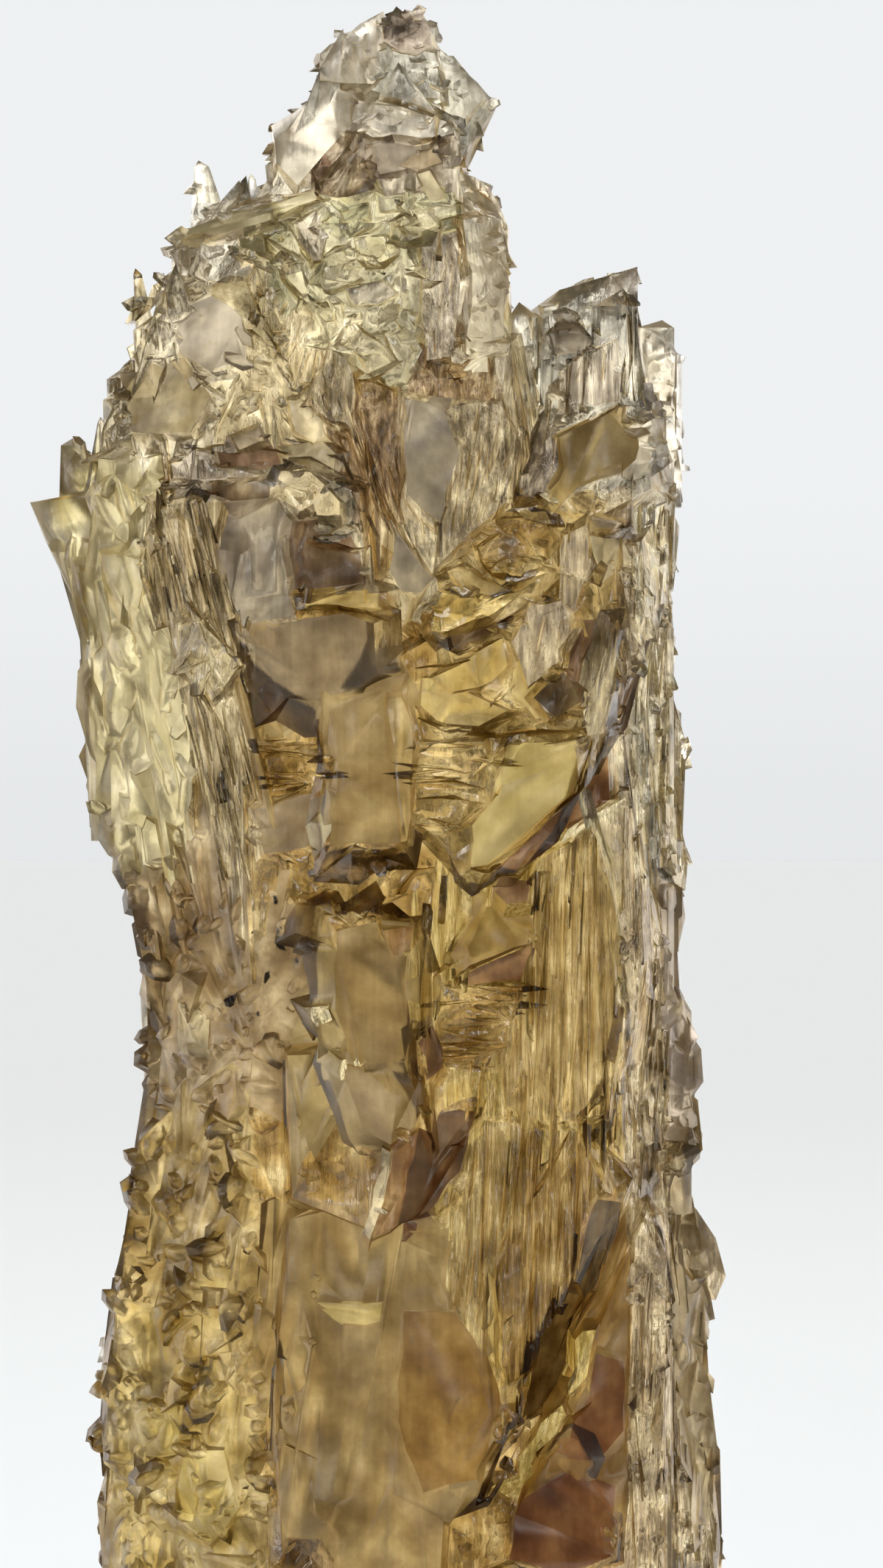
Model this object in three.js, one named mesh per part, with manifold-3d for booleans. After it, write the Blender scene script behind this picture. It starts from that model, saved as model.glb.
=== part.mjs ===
// A single barite crystal, etched and stepped, standing on the flat break where it left its matrix.
// Millimetres, +Z up along the crystal's long axis, +X to the right, the best face looking along -Y.
// The crystal grew as one piece, so it is one solid: convex growth pieces joined into one body, then cut.
// The pieces are placed about a long axis at x = 0, and the whole is then centred on its footprint.
import * as THREE from "three";
import { ConvexGeometry } from "three/addons/geometries/ConvexGeometry.js";
import { mergeVertices } from "three/addons/utils/BufferGeometryUtils.js";
import Module from "manifold-3d";

const wasm = await Module();
wasm.setup();

// Driving dimensions.
const HEIGHT = 135;
const BASE_CUT = 0; // the flat that the crystal stands on
const SHOULDER = 100; // below this the crystal is a full-width prism, above it a jagged termination
const LEFT = -20; // the prism's own sides, before the flanks and fins that stand out of them
const RIGHT = 19;
const FRONT = -12.5; // how far the best face stands towards the viewer
const BACK = 12.5;
const TINT = 0xb3a368;
const SEED = 14;
const GRAINS = 38; // rounded grains on the lower left
const BACK_LATHS = 22;
const STEP_ROW = 9; // the height from one row of the back's steps to the next

// A small repeatable random source, so that every build gives the same crystal.
function randomSource(seed) {
  let state = seed;
  return (low = 0, high = 1) => {
    state = (state + 0x6d2b79f5) | 0;
    let t = Math.imul(state ^ (state >>> 15), 1 | state);
    t = (t + Math.imul(t ^ (t >>> 7), 61 | t)) ^ t;
    return low + (high - low) * (((t ^ (t >>> 14)) >>> 0) / 4294967296);
  };
}

// A closed three.js geometry as a solid that can be joined and cut.
function solidOf(geometry) {
  geometry.deleteAttribute("normal");
  geometry.deleteAttribute("uv");
  const merged = mergeVertices(geometry, 1e-4);
  return new wasm.Manifold(
    new wasm.Mesh({
      numProp: 3,
      vertProperties: merged.attributes.position.array,
      triVerts: new Uint32Array(merged.index.array),
    }),
  );
}

// The convex solid around a list of [x, y, z] points.
function hull(points) {
  return solidOf(new ConvexGeometry(points.map((p) => new THREE.Vector3(...p))));
}

// How far the crystal narrows with height: [height, middle x, half width, share of the full depth].
const PROFILE = [
  [0, 0, 22, 1], [30, -0.5, 23, 1], [58, 0, 19.5, 0.94], [80, -2, 22, 0.92], [98, -3.5, 22, 0.78],
  [106, -7, 14.5, 0.66], [116, -5, 12, 0.54], [123, -3.5, 7, 0.38], [HEIGHT, -1.2, 2, 0.1],
];

function profileAt(z) {
  const i = Math.max(1, PROFILE.findIndex(([height]) => height >= z));
  const [z0, x0, half0, deep0] = PROFILE[i - 1];
  const [z1, x1, half1, deep1] = PROFILE[i];
  const t = (z - z0) / (z1 - z0);
  return { middle: x0 + t * (x1 - x0), half: half0 + t * (half1 - half0), deep: deep0 + t * (deep1 - deep0) };
}

// The front of the prism, seen from above as [x, y]: a narrow face between a left face and a right face.
const FRONT_FACES = [
  [-40, 8], [-24, -1.5], [-13, -8], [-4, FRONT], [5, FRONT], [18, -8.5], [22, -3], [40, 20],
];

function frontAt(x) {
  const i = FRONT_FACES.findIndex(([end]) => end >= x);
  const [x0, y0] = FRONT_FACES[i - 1];
  const [x1, y1] = FRONT_FACES[i];
  return y0 + ((x - x0) / (x1 - x0)) * (y1 - y0);
}

// The depth of the back, which falls away at both sides and towards the top.
function backAt(x, z) {
  const { middle, half, deep } = profileAt(z);
  const t = Math.min(1, Math.abs(x - middle) / half);
  return BACK * deep * (1 - 0.6 * t * t * t);
}

// A lath: a flattened prism with cut corners that runs up the long axis and ends in a low pyramid.
// x and y are its middle at the foot, w and d its size across, lean its tilt to the right and nod to the
// back, both in degrees, and peak says where over the section its tip stands, from -1 to 1 each way.
function lath({ x, y, w, d, foot, top, lean = 0, nod = 0, twist = 0, crown = 1, peak = [0, 0],
                taper = 1, root = 1, corner = 0.35 }) {
  const c = 1 - corner;
  const section = [
    [-1, -c], [-c, -1], [c, -1], [1, -c], [1, c], [c, 1], [-c, 1], [-1, c],
  ];
  const turn = THREE.MathUtils.degToRad(twist);
  const run = Math.tan(THREE.MathUtils.degToRad(lean));
  const fall = Math.tan(THREE.MathUtils.degToRad(nod));
  const at = (u, v, z, scale) => {
    const a = (u * w * scale) / 2;
    const b = (v * d * scale) / 2;
    return [
      x + a * Math.cos(turn) - b * Math.sin(turn) + run * (z - foot),
      y + a * Math.sin(turn) + b * Math.cos(turn) + fall * (z - foot),
      z,
    ];
  };
  return hull([
    ...section.map(([u, v]) => at(u, v, foot, root)),
    ...section.map(([u, v]) => at(u, v, top - crown, taper)),
    at(peak[0] * 0.6, peak[1] * 0.6, top, taper),
  ]);
}

// A shingle: a growth step whose outline is seen from the front. Each point is [x, z, how proud it stands].
// The step's rim slopes by flare, and the piece runs back into the body.
function shingle(outline, { flare = 2.4, reach = 7 } = {}) {
  const middle = outline.reduce((sum, [x, z]) => [sum[0] + x, sum[1] + z], [0, 0])
    .map((total) => total / outline.length);
  return hull(outline.flatMap(([x, z, proud]) => {
    const face = frontAt(x) - proud;
    const spread = new THREE.Vector2(x - middle[0], z - middle[1]).setLength(flare);
    return [
      [x, face, z],
      [x + spread.x, face + reach, z + spread.y],
    ];
  }));
}

// The rings of a convex block: each is a height and the [x, y] points of its section.
function block(rings) {
  return hull(rings.flatMap(([z, section]) => section.map(([x, y]) => [x, y, z])));
}

// The body under the growth steps, from the base to the foot of the termination.
function core() {
  return [
    block([
      [BASE_CUT, [[-21, -1.6], [-15, -7], [-6, -11.6], [4, -12.5], [17, -9.5], [21, -2], [20, 7], [9, 11.5],
                  [-9, 12], [-19, 8]]],
      [26, [[-22, -1], [-15, -6.6], [4, -11.5], [17, -9], [20.5, -2], [20, 7], [9, 11], [-9, 11.5],
            [-19, 8]]],
    ]),
    block([
      [24, [[-22, -1], [-14, -7.4], [4, -11], [16, -9], [20, -2], [19, 7], [9, 11], [-9, 11], [-19, 8]]],
      [58, [[LEFT + 1, -2], [-12, -8], [2, -11], [15, -9.5], [19.5, -2], [19, 7], [9, 11], [-8, 11],
            [-16, 8]]],
    ]),
    block([
      [56, [[LEFT + 1, -2], [-12, -8], [2, -11], [15, -9.5], [19.5, -2], [19, 7], [9, 11], [-8, 11],
            [-16, 8]]],
      [82, [[-22, -1], [-13, -8], [2, -10.5], [14, -9.5], [RIGHT - 1, -3], [18, 6], [9, 10], [-9, 10],
            [-20, 6]]],
    ]),
    block([
      [80, [[-22, -1], [-13, -8], [2, -10.5], [14, -9.5], [RIGHT - 1, -3], [17.5, 6], [9, 10], [-9, 10],
            [-20, 6]]],
      [SHOULDER - 1, [[-24.5, -1], [-14, -7], [2, -9.5], [14, -8.5], [17.5, -3], [16.5, 4.5], [8, 8],
                      [-10, 8], [-22, 5]]],
    ]),
    block([
      [SHOULDER - 4, [[-24, -1], [-14, -7], [1, -9], [8, -7.5], [8, 5], [4, 8], [-10, 8], [-22, 5]]],
      [110, [[-20.5, -1], [-12, -6.5], [0, -8], [6.8, -5.5], [6.8, 4], [2, 6.5], [-9, 6.5], [-17, 4]]],
    ]),
    block([
      [108, [[-19.8, -1], [-12, -6.5], [0, -8], [6.6, -5.5], [6.6, 4], [2, 6.5], [-9, 6.5], [-17, 4]]],
      [118, [[-15.5, -0.5], [-9, -5.5], [-1, -6.5], [5, -4], [5.5, 2.5], [1, 5], [-7, 5], [-12.5, 2.5]]],
    ]),
    block([
      [116, [[-15, -0.5], [-9, -5.5], [-1, -6], [4.5, -4], [5, 2], [1, 4], [-7, 4], [-12, 2]]],
      [124, [[-10, -0.5], [-6, -4], [-1, -5], [3.3, -3], [3.3, 1.5], [0, 3], [-5, 3], [-9, 1.5]]],
    ]),
    block([
      [122, [[-9.5, -0.5], [-6, -3.8], [-1, -4.6], [3.2, -2.6], [3.2, 1.5], [0, 2.6], [-5, 2.6],
             [-8.5, 1.5]]],
      [133, [[-3.6, -0.6], [-2.4, -2], [-0.5, -2.2], [0.9, -1.2], [0.9, 0.6], [-0.6, 1.2], [-2.4, 1.2],
             [-3.4, 0.6]]],
    ]),
  ];
}

// The highest point of the crystal and the steps that climb to it.
function spire() {
  return [
    lath({ x: -1.1, y: -1.2, w: 4.4, d: 4, foot: 118, top: HEIGHT, crown: 1.6, peak: [-0.5, 0.2],
           taper: 0.62 }),
    lath({ x: 0.2, y: -0.4, w: 2.4, d: 3, foot: 122, top: 134.2, crown: 0.8, peak: [0.6, 0] }),
    lath({ x: -3.7, y: 0.4, w: 2.6, d: 3.2, foot: 120, top: 133.2, crown: 1.4, peak: [0.8, 0], lean: 1 }),
    lath({ x: -5.6, y: 0.8, w: 3, d: 4, foot: 116, top: 130.8, crown: 1.2, peak: [0.4, -0.3] }),
    lath({ x: -7.0, y: -0.4, w: 2.2, d: 3.6, foot: 116, top: 128.6, crown: 1.2, peak: [0.8, 0] }),
    lath({ x: -2.6, y: -4.2, w: 4.6, d: 3.2, foot: 110, top: 127.6, crown: 2.2, peak: [0.6, 0.6],
           lean: 1.5 }),
    lath({ x: 1.6, y: -3.6, w: 3.4, d: 3.4, foot: 112, top: 127, crown: 2, peak: [-0.4, 0.6] }),
    // The pale plate that stands beside the spire on its left, with a straight slanting top.
    hull([[-10.7, -1.4, 125.1], [-10.7, 1.4, 125.1], [-6.4, -1.6, 127.9], [-6.2, 1.6, 127.9],
          [-3.5, -2.6, 126.6], [-3.5, 2.4, 126.6], [-11.2, -2, 119], [-11.2, 2.2, 119], [-4, -4.6, 117],
          [-4, 3.4, 117]]),
    // The spur on the right, a small rhomb.
    hull([[1.8, -1.6, 131.6], [2.6, 1.2, 131.2], [4.6, -1.4, 129.2], [6.1, -0.3, 127.6], [5.3, 1.2, 126.4],
          [3.9, -1.8, 124.4], [3.6, 1.4, 122.4], [0.4, -2.4, 123], [0.4, 2, 123], [0.6, 0, 132]]),
    // The rounded steps under the spur.
    lath({ x: 3.2, y: 0.6, w: 5.2, d: 5.6, foot: 104, top: 121.4, crown: 2.6, peak: [0.2, 0], taper: 0.84 }),
    lath({ x: 4.7, y: 0.2, w: 4.6, d: 4.6, foot: 104, top: 118.4, crown: 2.4, peak: [0.1, 0.4], taper: 0.9 }),
    lath({ x: 5.2, y: 1.6, w: 3.8, d: 4, foot: 102, top: 115.6, crown: 1.6, peak: [0, 0] }),
    lath({ x: 4.4, y: -4.2, w: 3.2, d: 3.4, foot: 98, top: 116.8, crown: 1.4, peak: [-0.6, 0.4] }),
  ];
}

// The jagged left shoulder, with the small spikes that stand on it.
function leftShoulder() {
  const spike = (x, y, wide, top, foot, lean) =>
    lath({ x, y, w: wide, d: wide * 0.8, foot, top, crown: 0.5, lean, taper: 0.3, peak: [-0.6, 0] });
  return [
    spike(-15.4, 0.6, 3.6, 123.6, 117, -8),
    spike(-14.2, -0.4, 2.6, 121, 115, 6),
    spike(-12.3, 1.2, 1.9, 122.7, 117, -2),
    spike(-20.0, 0.4, 2.2, 115.4, 107, -8),
    spike(-19.4, 1.6, 2, 115.2, 108, 2),
    spike(-24.2, 1, 2, 104.2, 98, 3),
    lath({ x: -12.4, y: -1.6, w: 5.4, d: 6, foot: 104, top: 121.2, crown: 3, peak: [1.2, 0], taper: 0.9 }),
    lath({ x: -15.6, y: -0.8, w: 4.6, d: 5, foot: 102, top: 119.4, crown: 3, peak: [0.7, 0], lean: -2 }),
    lath({ x: -17.0, y: 0.4, w: 3.6, d: 4, foot: 100, top: 116.6, crown: 2, peak: [0.6, 0], lean: -1 }),
    lath({ x: -18.2, y: -1, w: 4.2, d: 4.4, foot: 92, top: 112.4, crown: 2, peak: [0.3, 0], lean: -3 }),
    lath({ x: -20.2, y: 0.2, w: 4.8, d: 5, foot: 86, top: 109.2, crown: 2.4, peak: [0.5, 0], lean: -2 }),
    lath({ x: -21.2, y: -0.6, w: 4, d: 4.2, foot: 84, top: 106.4, crown: 1.2, peak: [-0.2, 0], lean: -1 }),
    lath({ x: -8.6, y: -4.4, w: 5, d: 4, foot: 98, top: 117.6, crown: 2.4, peak: [0.4, 0.8], lean: -3 }),
    lath({ x: -12.8, y: -4.2, w: 4.2, d: 4, foot: 94, top: 113.4, crown: 2.4, peak: [-0.2, 0.7], lean: -6 }),
    lath({ x: -15.2, y: -3.8, w: 4, d: 3.4, foot: 88, top: 109.6, crown: 2, peak: [0.3, 0.7], lean: -8 }),
  ];
}

// The pale fin behind the left side, which leans outwards to the leftmost point and steps back in below it.
function leftFin() {
  return [
    hull([[-29.5, 2.8, 97.8], [-29.1, 4, 97.5], [-27, 1, 97.9], [-27, 5, 98.4], [-28.3, 3, 94.8],
          [-25.4, 1.4, 89], [-25.2, 5.2, 88.4], [-16, -1, 100], [-16, 6.6, 100], [-16, -1.5, 84],
          [-16, 7, 84]]),
    hull([[-27.2, 2, 98], [-27.2, 3.8, 98], [-27.1, 2.2, 102.1], [-26.2, 3.4, 102.8], [-25.3, 1.4, 102.1],
          [-24.4, 3.8, 100.6], [-23, 0, 92], [-23, 5.4, 92], [-26.4, 2.6, 92]]),
    lath({ x: -22.6, y: 2.6, w: 4.4, d: 5, foot: 73, top: 93, crown: 2, lean: -3 }),
    lath({ x: -22.4, y: 1.4, w: 4.4, d: 4.6, foot: 72, top: 84, crown: 2.2, lean: -2, peak: [0.4, 0] }),
    hull([[-25.2, 2.4, 76.1], [-24.3, 1, 81], [-24.3, 4.4, 81], [-24.2, 1.4, 73.4], [-24, 3.6, 73.4],
          [-21.2, 0.4, 70.2], [-21, 4.6, 70.2], [-16, -2, 82], [-16, 6.6, 82], [-16, -2.4, 66],
          [-16, 6.8, 66]]),
    // Parallel ridges that run down the left face, from the fin's top towards the middle.
    ...[0, 1, 2, 3, 4, 5].map((i) =>
      lath({ x: -9.6 - 1.9 * i, y: -8.2 + 1.15 * i, w: 1.7, d: 3, foot: 70 - 1.6 * i, top: 98.6 - 1.1 * i,
             lean: -14 + i, nod: 2.4, crown: 1.6, peak: [0, 0.8], corner: 0.7, root: 0.6 })),
  ];
}

// The right shoulder: a block with a high outer corner, and the thin clear plates behind it.
function rightShoulder() {
  return [
    hull([[16.7, -0.6, 115.4], [16.6, 1.4, 115.2], [14.6, -1.8, 114.6], [13, 1.8, 114.4], [10.8, -1, 113.6],
          [8.4, 0.6, 112], [8.6, -2.6, 110.6], [16.7, -2.2, 108], [16.7, 3.4, 108], [6, -4, 98],
          [16.7, -4.6, 98], [16.7, 4.4, 96], [6, 4.4, 96]]),
    lath({ x: 11.2, y: -4.6, w: 4.6, d: 4.4, foot: 94, top: 111.8, crown: 2.2, peak: [0.2, 0.6],
           taper: 0.8 }),
    lath({ x: 14.8, y: -4.4, w: 3.4, d: 4, foot: 94, top: 113.4, crown: 1.6, peak: [0.7, 0.6] }),
    lath({ x: 8.2, y: -2.4, w: 2.6, d: 3.8, foot: 96, top: 112.6, crown: 1.4, peak: [-0.6, 0.6] }),
    lath({ x: 9.6, y: -6.2, w: 1.8, d: 2.8, foot: 92, top: 107.6, crown: 2.4, peak: [0.6, 0.8], lean: 4 }),
    lath({ x: 18.1, y: 2.6, w: 3, d: 2.6, foot: 92, top: 111.7, crown: 0.7, peak: [0.7, 0], corner: 0.2 }),
    lath({ x: 19.2, y: 4.2, w: 2.1, d: 2, foot: 97.5, top: 109.5, crown: 0.4, peak: [0.8, 0], corner: 0.2 }),
    lath({ x: 17.2, y: -1.2, w: 3.4, d: 4.4, foot: 84, top: 100.2, crown: 1.4, peak: [0.4, 0] }),
  ];
}

// The plates and nodules of the right side, from the shoulder down to the base.
function rightFlank() {
  return [
    lath({ x: 17.4, y: 1.4, w: 3, d: 4.6, foot: 80, top: 94, crown: 1, peak: [0.6, 0] }),
    lath({ x: 18.6, y: 2.2, w: 3, d: 3.2, foot: 66, top: 82.5, crown: 0.8, peak: [0.8, 0] }),
    lath({ x: 17.8, y: -2, w: 3, d: 4, foot: 58, top: 90, crown: 2, peak: [0.3, 0.4] }),
    lath({ x: 18.2, y: 3.6, w: 3, d: 4.4, foot: 60, top: 76, crown: 1.4, peak: [0.4, 0] }),
    hull([[20.4, 1, 66.2], [19.8, 3, 70], [19.8, -1, 70], [19.4, 1, 61.6], [17, -3, 72], [17, 5, 72],
          [17, -3, 58], [17, 5, 58]]),
    lath({ x: 18.9, y: -0.6, w: 3.6, d: 5, foot: 44, top: 61.6, crown: 2.4, peak: [0.4, 0] }),
    lath({ x: 18.4, y: 4.2, w: 4, d: 5, foot: 40, top: 58, crown: 1.4, peak: [0.4, 0] }),
    lath({ x: 18.8, y: 1.2, w: 3.6, d: 4.4, foot: 34, top: 47, crown: 1.6, peak: [0.2, 0] }),
    hull([[22.2, 0.6, 35.7], [21.2, 2.4, 38.6], [21.2, -1.6, 38.4], [20.2, 1, 40.8], [21.4, 0, 30],
          [18, -4, 42], [18, 6, 42], [18, -4.6, 26], [18, 6.4, 26], [21.2, 3, 29.6]]),
    hull([[22.6, 1.8, 24.4], [21.6, -0.6, 29], [22.9, -1.4, 19.4], [23.1, 2.8, 15], [22.6, 4.4, 8.4],
          [21.6, -3.6, 9], [18, -5.6, 28], [18, 7.4, 28], [18, -8, 1], [18, 8, 1], [22.2, 3, BASE_CUT],
          [21, -3.2, BASE_CUT]]),
  ];
}

// The left side below the fin: a waist, then the swelling of the foot.
function leftFlank() {
  return [
    hull([[-19.6, 0, 69], [-19.6, 4, 68], [-19.4, 2, 58], [-14, -4, 72], [-14, 7, 72], [-14, -4, 54],
          [-14, 7, 54]]),
    hull([[-21.1, 1.8, 60.3], [-20.7, 0, 62], [-20.4, 3.4, 62.4], [-19.7, 0.2, 58], [-17, -3, 66],
          [-17, 5.4, 66], [-17, -3, 54], [-17, 5.4, 54]]),
    hull([[-20.3, 0.6, 47.2], [-19.2, -1, 53], [-19.4, 4, 52], [-20.6, 2, 44.6], [-15, -5.4, 58],
          [-15, 7.4, 58], [-15, -5.6, 40], [-15, 7.4, 40]]),
    hull([[-22.9, 0.4, 39.1], [-21.7, -0.8, 42.6], [-21.6, 3, 42.8], [-22.5, 2.4, 36.6], [-17, -4, 46],
          [-17, 7, 46], [-17, -4, 32], [-17, 7, 32]]),
    hull([[-23.7, 0.6, 32.3], [-22.9, 1.6, 36.4], [-22.8, -1.2, 35.8], [-24, 1, 28.6], [-23.7, 3, 25.2],
          [-23.6, -0.8, 25], [-17, -4.4, 38], [-17, 7.4, 38], [-17, -4.8, 20], [-17, 8, 20]]),
    hull([[-24.2, 0.4, 21.9], [-23.4, 2.4, 24.8], [-23, -0.8, 24.6], [-22.9, -1, 18.6], [-23.8, 2.8, 14],
          [-23.2, -1.4, 12], [-22.6, 3.4, 4], [-21.8, -1.6, 3], [-17, -4.6, 26], [-17, 8, 26],
          [-17, -5, 0.6], [-17, 8.8, 0.6]]),
  ];
}

// The growth steps of the best face. Each overlaps the one below it, with its free edge to the lower right.
function frontSteps() {
  return [
    // The rough, dark block at the upper left.
    shingle([[-14, 97.9, 0.4], [-8, 99.4, 0.2], [-4.1, 97.4, 0.6], [-3.6, 87.4, 0.8], [-6.6, 82.6, 0.8],
             [-11.8, 85.8, 0.9], [-13.5, 92, 0.8]]),
    // The fan of fibres under the spire.
    shingle([[-7, 108.6, -3.4], [7, 108.8, -3.2], [7.6, 100.4, -1.2], [3.8, 93.2, 0.5], [1.2, 91.6, 0.7],
             [-1.6, 96.2, 0.2], [-5, 103, -2]]),
    // The smooth window under the right shoulder.
    shingle([[10, 104.8, -3.6], [16.8, 104.2, -2.6], [17.4, 98.2, -1.4], [12.4, 95.4, 0], [8.8, 97.2, -0.6]]),
    // The flat steps of the upper right.
    shingle([[-0.3, 88.2, 0.3], [3, 94.8, -0.2], [7.4, 97, -0.4], [12.9, 96.8, -0.6], [14.8, 95.4, 0],
             [10.8, 91.6, 1], [7.4, 88.4, 1.3], [1.9, 87, 1]]),
    shingle([[-1.1, 85.6, 0.2], [2, 87.4, 0.2], [8, 88, 0.3], [12, 90.6, 0.5], [16.6, 94.2, 0.8],
             [16.8, 88.6, 1.8], [13, 79.8, 2.4], [10.6, 74.6, 2.2], [7.2, 69.9, 2], [4, 69.6, 1.2],
             [-0.4, 74.4, 0.4]]),
    shingle([[-0.4, 79, 0.6], [6, 79.6, 0.6], [11.6, 83.2, 0.9], [13.6, 84.6, 2.2], [9.8, 77.4, 2.9],
             [3.2, 76.4, 1.2]]),
    // The window in the middle, smooth and flat, and the one below it.
    shingle([[-6.9, 83, 1.2], [-0.6, 84.4, 0.8], [-0.4, 72, 1.1], [-6.3, 71.8, 1.5]], { flare: 0.4 }),
    shingle([[-6.9, 66.8, 1.4], [-0.4, 66.2, 0.9], [-0.8, 56.1, 1], [-3.6, 55.4, 1.5], [-6.9, 58.3, 1.7]],
            { flare: 0.4 }),
    // The ribbed face of the right prism.
    shingle([[1.4, 62.2, 0.2], [7.4, 66.6, 0.2], [16.4, 72.4, 0.4], [16.8, 62, 1.4], [15.4, 55.8, 1.8],
             [12.2, 50.8, 2], [7.4, 43.6, 1.6], [3, 41.8, 1], [1.4, 52.8, 0.4]]),
    shingle([[8.6, 71.6, 0.8], [15.6, 75.4, 1.2], [16, 60.8, 2.4], [13.8, 54.4, 2.6], [10.4, 58.6, 1.4]]),
    // The lower steps, each with a deep dark riser on its lower right.
    shingle([[-0.3, 45.4, 0.6], [4.1, 54, 0.3], [12.4, 50.6, 0.6], [15.9, 47.4, 1.2], [12.4, 39, 2.2],
             [6.9, 31.3, 2.4], [2.5, 22.8, 2], [-1.6, 24.8, 1.2]]),
    shingle([[12.2, 33, 0.4], [17, 44.8, 0.6], [18.4, 41.6, 1.2], [18, 17, 1.8], [17.4, 2.5, 1.4],
             [6, 2.5, 1.6], [5, 14, 1.2], [7.6, 22.8, 0.8]]),
    // The broad smooth face at the foot.
    shingle([[-9.2, 44.4, 0.8], [-0.6, 46.6, 0.6], [3.4, 41.4, 0.7], [1.6, 26, 1.5], [1, 8, 1.8],
             [-8, 6, 1.6], [-10, 24, 1.4]]),
    shingle([[-9.4, 56.4, 0.8], [-3, 56.8, 0.9], [0.6, 49, 0.6], [-3.4, 44, 0.7], [-9, 46, 0.9]]),
    shingle([[-16, 12, 1], [-8, 16, 1.2], [-4, 8, 1.8], [-6, 2, 1.4], [-14, 1.6, 1.2]]),
  ];
}

// An irregular grain: the hull of points scattered over a stretched ball.
function grain(random, [x, y, z], [sx, sy, sz], corners = 8) {
  const points = [];
  for (let i = 0; i < corners; i++) {
    const v = new THREE.Vector3().setFromSphericalCoords(1, Math.acos(random(-1, 1)), random(0, 2 * Math.PI));
    points.push([x + v.x * sx, y + v.y * sy, Math.max(BASE_CUT - 1, z + v.z * sz)]);
  }
  return hull(points);
}

// Rounded grains crowd the lower left.
function leftGrains(random) {
  const made = [];
  for (let i = 0; i < GRAINS; i++) {
    const z = random(2, 62);
    const x = random(-21.5, -10) + (z > 44 ? 2.4 : 0);
    made.push(grain(random, [x, frontAt(x) + random(1.8, 3), z],
                    [random(1.4, 3.2), random(3, 4.2), random(1.8, 4)]));
  }
  return made;
}

// A step of the back: a tall convex outline with slanting ends, standing a little proud of the body.
function backStep(random, x, z, wide, tall) {
  const sway = random(-0.3, 0.3) * wide;
  const proud = random(0.2, 1.6);
  const tip = random(-0.35, 0.35) * wide;
  const outline = [
    [-0.5 * wide, -0.32 * tall], [-0.46 * wide, 0.3 * tall], [tip, 0.5 * tall], [0.5 * wide, 0.26 * tall],
    [0.44 * wide, -0.36 * tall], [-tip, -0.5 * tall],
  ].map(([u, v]) => [x + u + sway * (v / tall), Math.min(z + v, HEIGHT - 3)]);
  const tilt = random(-0.09, 0.09);
  const within = (u, v) => {
    const { middle, half } = profileAt(v);
    return THREE.MathUtils.clamp(u, middle - half, middle + half);
  };
  return hull(outline.flatMap(([u, v]) => {
    const face = backAt(x, v) + proud + tilt * (u - x) - 0.4;
    return [[within(u, v), face, v], [within(u + (u - x) * 0.16, v), face - 9, v + Math.sign(v - z) * 0.8]];
  }));
}

function backSteps(random) {
  const made = [];
  for (let z = 5; z < HEIGHT - 7; z += STEP_ROW) {
    const { middle, half } = profileAt(z);
    for (let x = middle - half + 2.6; x < middle + half - 1.6; x += random(4.6, 7.8)) {
      const tall = Math.min(random(9, 24), 2.4 * (HEIGHT - z));
      made.push(backStep(random, x, z + random(-3, 3), random(4.4, 8.4), tall));
    }
  }
  return made;
}

// A few laths stand out of the back's steps.
function backLaths(random) {
  const made = [];
  for (let i = 0; i < BACK_LATHS; i++) {
    const foot = random(0, 84);
    const x = random(-17, 16);
    const top = Math.min(foot + random(12, 30), 108 - Math.abs(x) * 0.6);
    made.push(lath({ x, y: backAt(x, top) - random(0.4, 1.6), w: random(1.8, 3.8), d: random(2.4, 4.4), foot,
                     top,
                     nod: -1, twist: random(-30, 30), crown: random(1.5, 5), peak: [random(-1, 1), -1],
                     root: random(0.4, 0.9), corner: random(0.3, 0.7) }));
  }
  return made;
}

// The break around the foot: chips knocked out of the rim where the crystal left its matrix.
function chips(random) {
  const made = [];
  for (let turn = 0; turn < 2 * Math.PI; turn += random(0.5, 0.9)) {
    const x = 23.4 * Math.cos(turn);
    const y = 14 * Math.sin(turn);
    made.push(grain(random, [x, y, -0.4], [random(2, 4.6), random(1.6, 3.2), random(1.6, 4)], 10));
  }
  return made;
}

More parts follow.
